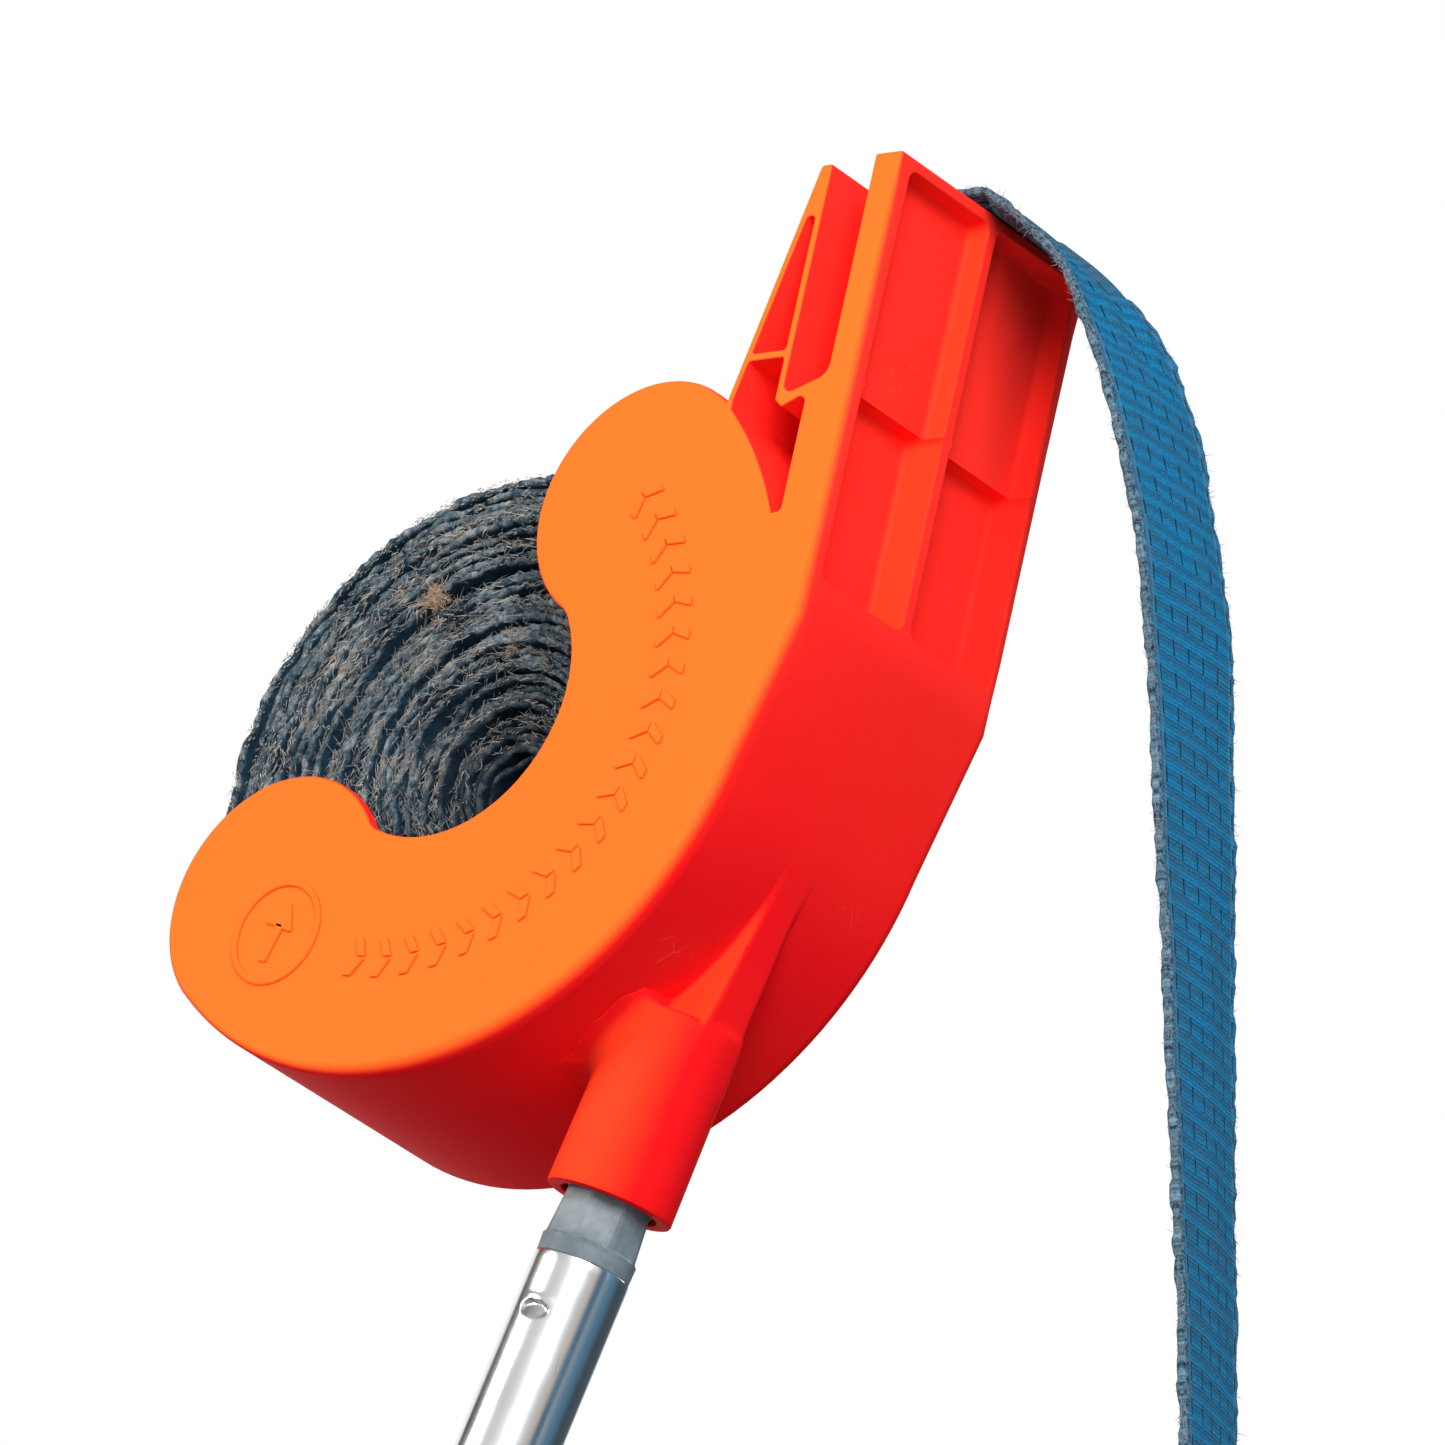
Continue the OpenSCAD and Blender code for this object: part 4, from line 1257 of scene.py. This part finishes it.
def loose_thread(name, dark, light):
    """Single filaments of polyester and lint, each its own shade."""
    material, tree = start_material(name, Roughness=0.85, IOR=1.5, Sheen_Weight=0.3,
                                    Specular_IOR_Level=0.2)
    shade = stored(tree, "tone") + coordinates(tree).noise(420, 2)
    shade = shade.math("MULTIPLY", 0.6, use_clamp=True)
    surface(tree, Base_Color=shade.mix(tone(dark), tone(light)))
    return material


def drawn_aluminium(name, roughness, scratch):
    """Drawn aluminium tube: fine lines along it from the die, and light handling scratches."""
    material, tree = start_material(name, Metallic=1.0)
    where = coordinates(tree)
    lines = where.mapped((900, 900, 9), (0, -POLE_LEAN, 0)).noise(1, 3)
    smear = where.noise(46, 6, 0.7)
    marks = where.cracks(150, 0.02) * smear.remap(0.58, 0.66) * scratch
    colour = marks.mix(smear.mix(tone("#F4F5F7"), tone("#E6E8EB")), tone("#8C8F94"))
    surface(tree, lines * 0.25 - marks, 0.12, 0.0001, Base_Color=colour,
            Roughness=smear.remap(0.3, 0.7, roughness * 0.8, roughness * 1.35))
    return material


def moulded_nylon(name, dark, light, roughness, grain_mm=0.6):
    """Injection-moulded nylon: an eroded tool leaves a fine matt grain, handling polishes it."""
    material, tree = start_material(name, IOR=1.53, Specular_IOR_Level=0.4)
    where = coordinates(tree)
    grain, rub = where.noise(1000 / grain_mm, 3), where.noise(70, 6, 0.65)
    surface(tree, grain + rub * 0.5, 0.25, 0.00015,
            Base_Color=rub.remap(0.35, 0.68).mix(tone(dark), tone(light)),
            Roughness=rub.remap(0.3, 0.7, roughness + 0.08, roughness - 0.06))
    return material


def zinc_wire():
    """Bright zinc plate with a yellow passivate over drawn steel wire: faint rainbow clouds."""
    material, tree = start_material("yellow_zinc_plate", Metallic=1.0)
    where = coordinates(tree)
    scuff = where.noise(380, 6, 0.75)
    surface(tree, scuff, 0.15, 0.0001, Roughness=scuff.remap(0.3, 0.7, 0.2, 0.42),
            Base_Color=where.noise(60, 5).mix(tone("#D9CFA6"), tone("#C2BEB4")))
    return material


# ---- assembly ----

rng = np.random.default_rng(7)
orange = printed_petg()
blue_webbing = woven_polyester()
old_webbing = worn_roll_webbing()
grey_thread = loose_thread("frayed_filaments", "#1E2C3A", "#B9B0A6")
pale_thread = loose_thread("fine_grey_lint", "#3A4A57", "#C4C0BA")
blue_thread = loose_thread("selvedge_fuzz", "#3A5468", "#8398A6")
straw = loose_thread("caught_lint", "#7A5C44", "#CDB69C")
polished = drawn_aluminium("polished_aluminium_tube", 0.2, 0.8)
satin = drawn_aluminium("satin_aluminium_tube", 0.3, 0.6)
grey_nylon = moulded_nylon("grey_moulded_nylon", "#56656F", "#8796A0", 0.5, 0.4)
black_nylon = moulded_nylon("black_moulded_nylon", "#0E0F10", "#1C1D1F", 0.42)
acetal = moulded_nylon("turned_white_acetal", "#DCD8CC", "#EFECE2", 0.3)
rubber = moulded_nylon("moulded_grip_rubber", "#121314", "#232526", 0.68, 0.9)
rivet_steel = drawn_aluminium("plain_rivet_steel", 0.34, 0.4)
zinc = zinc_wire()

tail_mesh, tail_line = strap_tail()
tail = piece("strap_tail_webbing", tail_mesh, blue_webbing, "head", "webbing", "strap_tail")
eye = piece("strap_eye_webbing", strap_eye(), blue_webbing, "head", "webbing", "strap_eye")
stitches = piece("eye_stitching", eye_stitches(), grey_thread, "head", "webbing")
hook = piece("double_claw_hook", strap_hook(), zinc, "hook", "zinc_steel", "strap_hook")
tail_fuzz = piece("selvedge_fuzz", edge_fuzz(rng), blue_thread, "head", "webbing")

frayed = roll_fuzz(rng, "roll_fuzz", 13500, 2.6, 0.17)
fine_lint = roll_fuzz(rng, "roll_haze", 13500, 3.4, 0.09)
piece("strap_roll_webbing", strap_roll(), old_webbing, "head", "worn_webbing", "strap_roll")
piece("roll_frayed_threads", frayed, grey_thread, "head", "worn_webbing")
piece("roll_fine_lint", fine_lint, pale_thread, "head", "worn_webbing")
piece("roll_lint", lint_tufts(rng), straw, "head", "worn_webbing")
piece("strap_run_webbing", strap_run(), blue_webbing, "head", "webbing", "strap_run")

HEAD_NODES = ["near_cheek", "far_cheek", "cradle_wall", "front_rail", "rear_wedge", "pole_socket"]
head = piece("printed_head", printed_head(), orange, "head", "orange_print", *HEAD_NODES)
normals = head.modifiers.new("normals", "WEIGHTED_NORMAL")
normals.keep_sharp = True

SECTION = "inner_section"
piece("tip_plug", pole_tip(), grey_nylon, SECTION, "grey_nylon", "pole_tip")
piece("inner_section_tube", inner_tube(), polished, SECTION, "polished_aluminium", "inner_tube")
piece("ribbed_lock_nut", lock_nut(), black_nylon, "lock", "black_nylon", "lock_nut")
piece("rubber_hand_grip", hand_grip(), rubber, "handle", "grip_rubber", "hand_grip")

BLACK_NODES = ["collar_sleeve", "inner_bush", "grip_rings", "end_cap"]
as_packed = {name: black_nylon for name in BLACK_NODES}
as_packed |= {"outer_tube": satin, "collet": acetal}
as_packed |= {"sleeve_rivets": rivet_steel, "cap_rivet": rivet_steel}
for name, material in as_packed.items():
    mesh = frame["nodes"][name].data
    mesh.materials.clear()
    mesh.materials.append(material)

# ---- floor, light and background ----

FLOOR_Z = -1.6
FLOOR_HALF = 2.5
square = np.array([[-1, -1, 0], [1, -1, 0], [1, 1, 0], [-1, 1, 0]])
floor_mesh = bpy.data.meshes.new("floor")
floor_mesh.from_pydata((square * FLOOR_HALF + [0, 0, FLOOR_Z]).tolist(), [], [[0, 1, 2, 3]])
pale_floor, _ = start_material("pale_floor", Roughness=0.9, Base_Color=tone("#B8B8B6"))
floor_mesh.materials.append(pale_floor)
floor = link("floor", floor_mesh)

# the key's, the fill's and the back light's place from the cradle, size, power and colour
SOFTBOXES = {
    "key": ((-1.5, -2.3, 0.9), 1.2, 62, "#FFF4E4"),
    "fill": ((1.9, -1.75, 0.25), 1.3, 72, "#FFF8F2"),
    "back": ((1.4, 2.3, 1.3), 1.6, 20, "#FFFFFF"),
}
for name, (place, size, power, colour) in SOFTBOXES.items():
    data = bpy.data.lights.new(name, "AREA")
    data.shape, data.size, data.energy, data.color = "SQUARE", size, power, tone(colour)[:3]
    softbox = link(name, data)
    softbox.location = CRADLE + place
    face(softbox, CRADLE)

# A bright side up and to the left, and a beige, blue and dark side to the right, in bands that
# lie along the pole so that the polished tube mirrors them lengthwise. Angles are in degrees
# round the pole.
BANDS = [
    (-180, "#000000"), (-38, "#FFFFFF"), (-28, "#C9DCEA"), (-14, "#E6D6C8"), (8, "#F0E2D4"),
    (18, "#A8B6C0"), (30, "#5E8AA4"), (48, "#4A6E86"), (64, "#38444C"), (108, "#4A555C"),
    (130, "#FFFFFF"), (180, "#FFFFFF"),
]
world = bpy.data.worlds.new("studio")
bpy.context.scene.world = world
world.use_nodes = True
sky = world.node_tree
sky.nodes.clear()
toward = coordinates(sky, "Generated")
upright = toward.mapped(turn=(0, -POLE_LEAN, 0))
around = node(sky, "TexGradient", {0: upright}, "Fac", gradient_type="RADIAL")
bands = around.ramp([(angle / 360 + 0.5, code) for angle, code in BANDS])
lift = toward.split()[2]
level = lift.remap(-0.6, -0.2, 0.03, 1) * lift.remap(0.6, 0.95, 1, 0.35)
lit = node(sky, "Background", {0: bands, 1: level})
shown = node(sky, "Background", {0: tone("#FFFFFF"), 1: 1})
seen = node(sky, "LightPath", output="Is Camera Ray")
node(sky, "OutputWorld", {0: node(sky, "MixShader", {0: seen, 1: lit, 2: shown})})
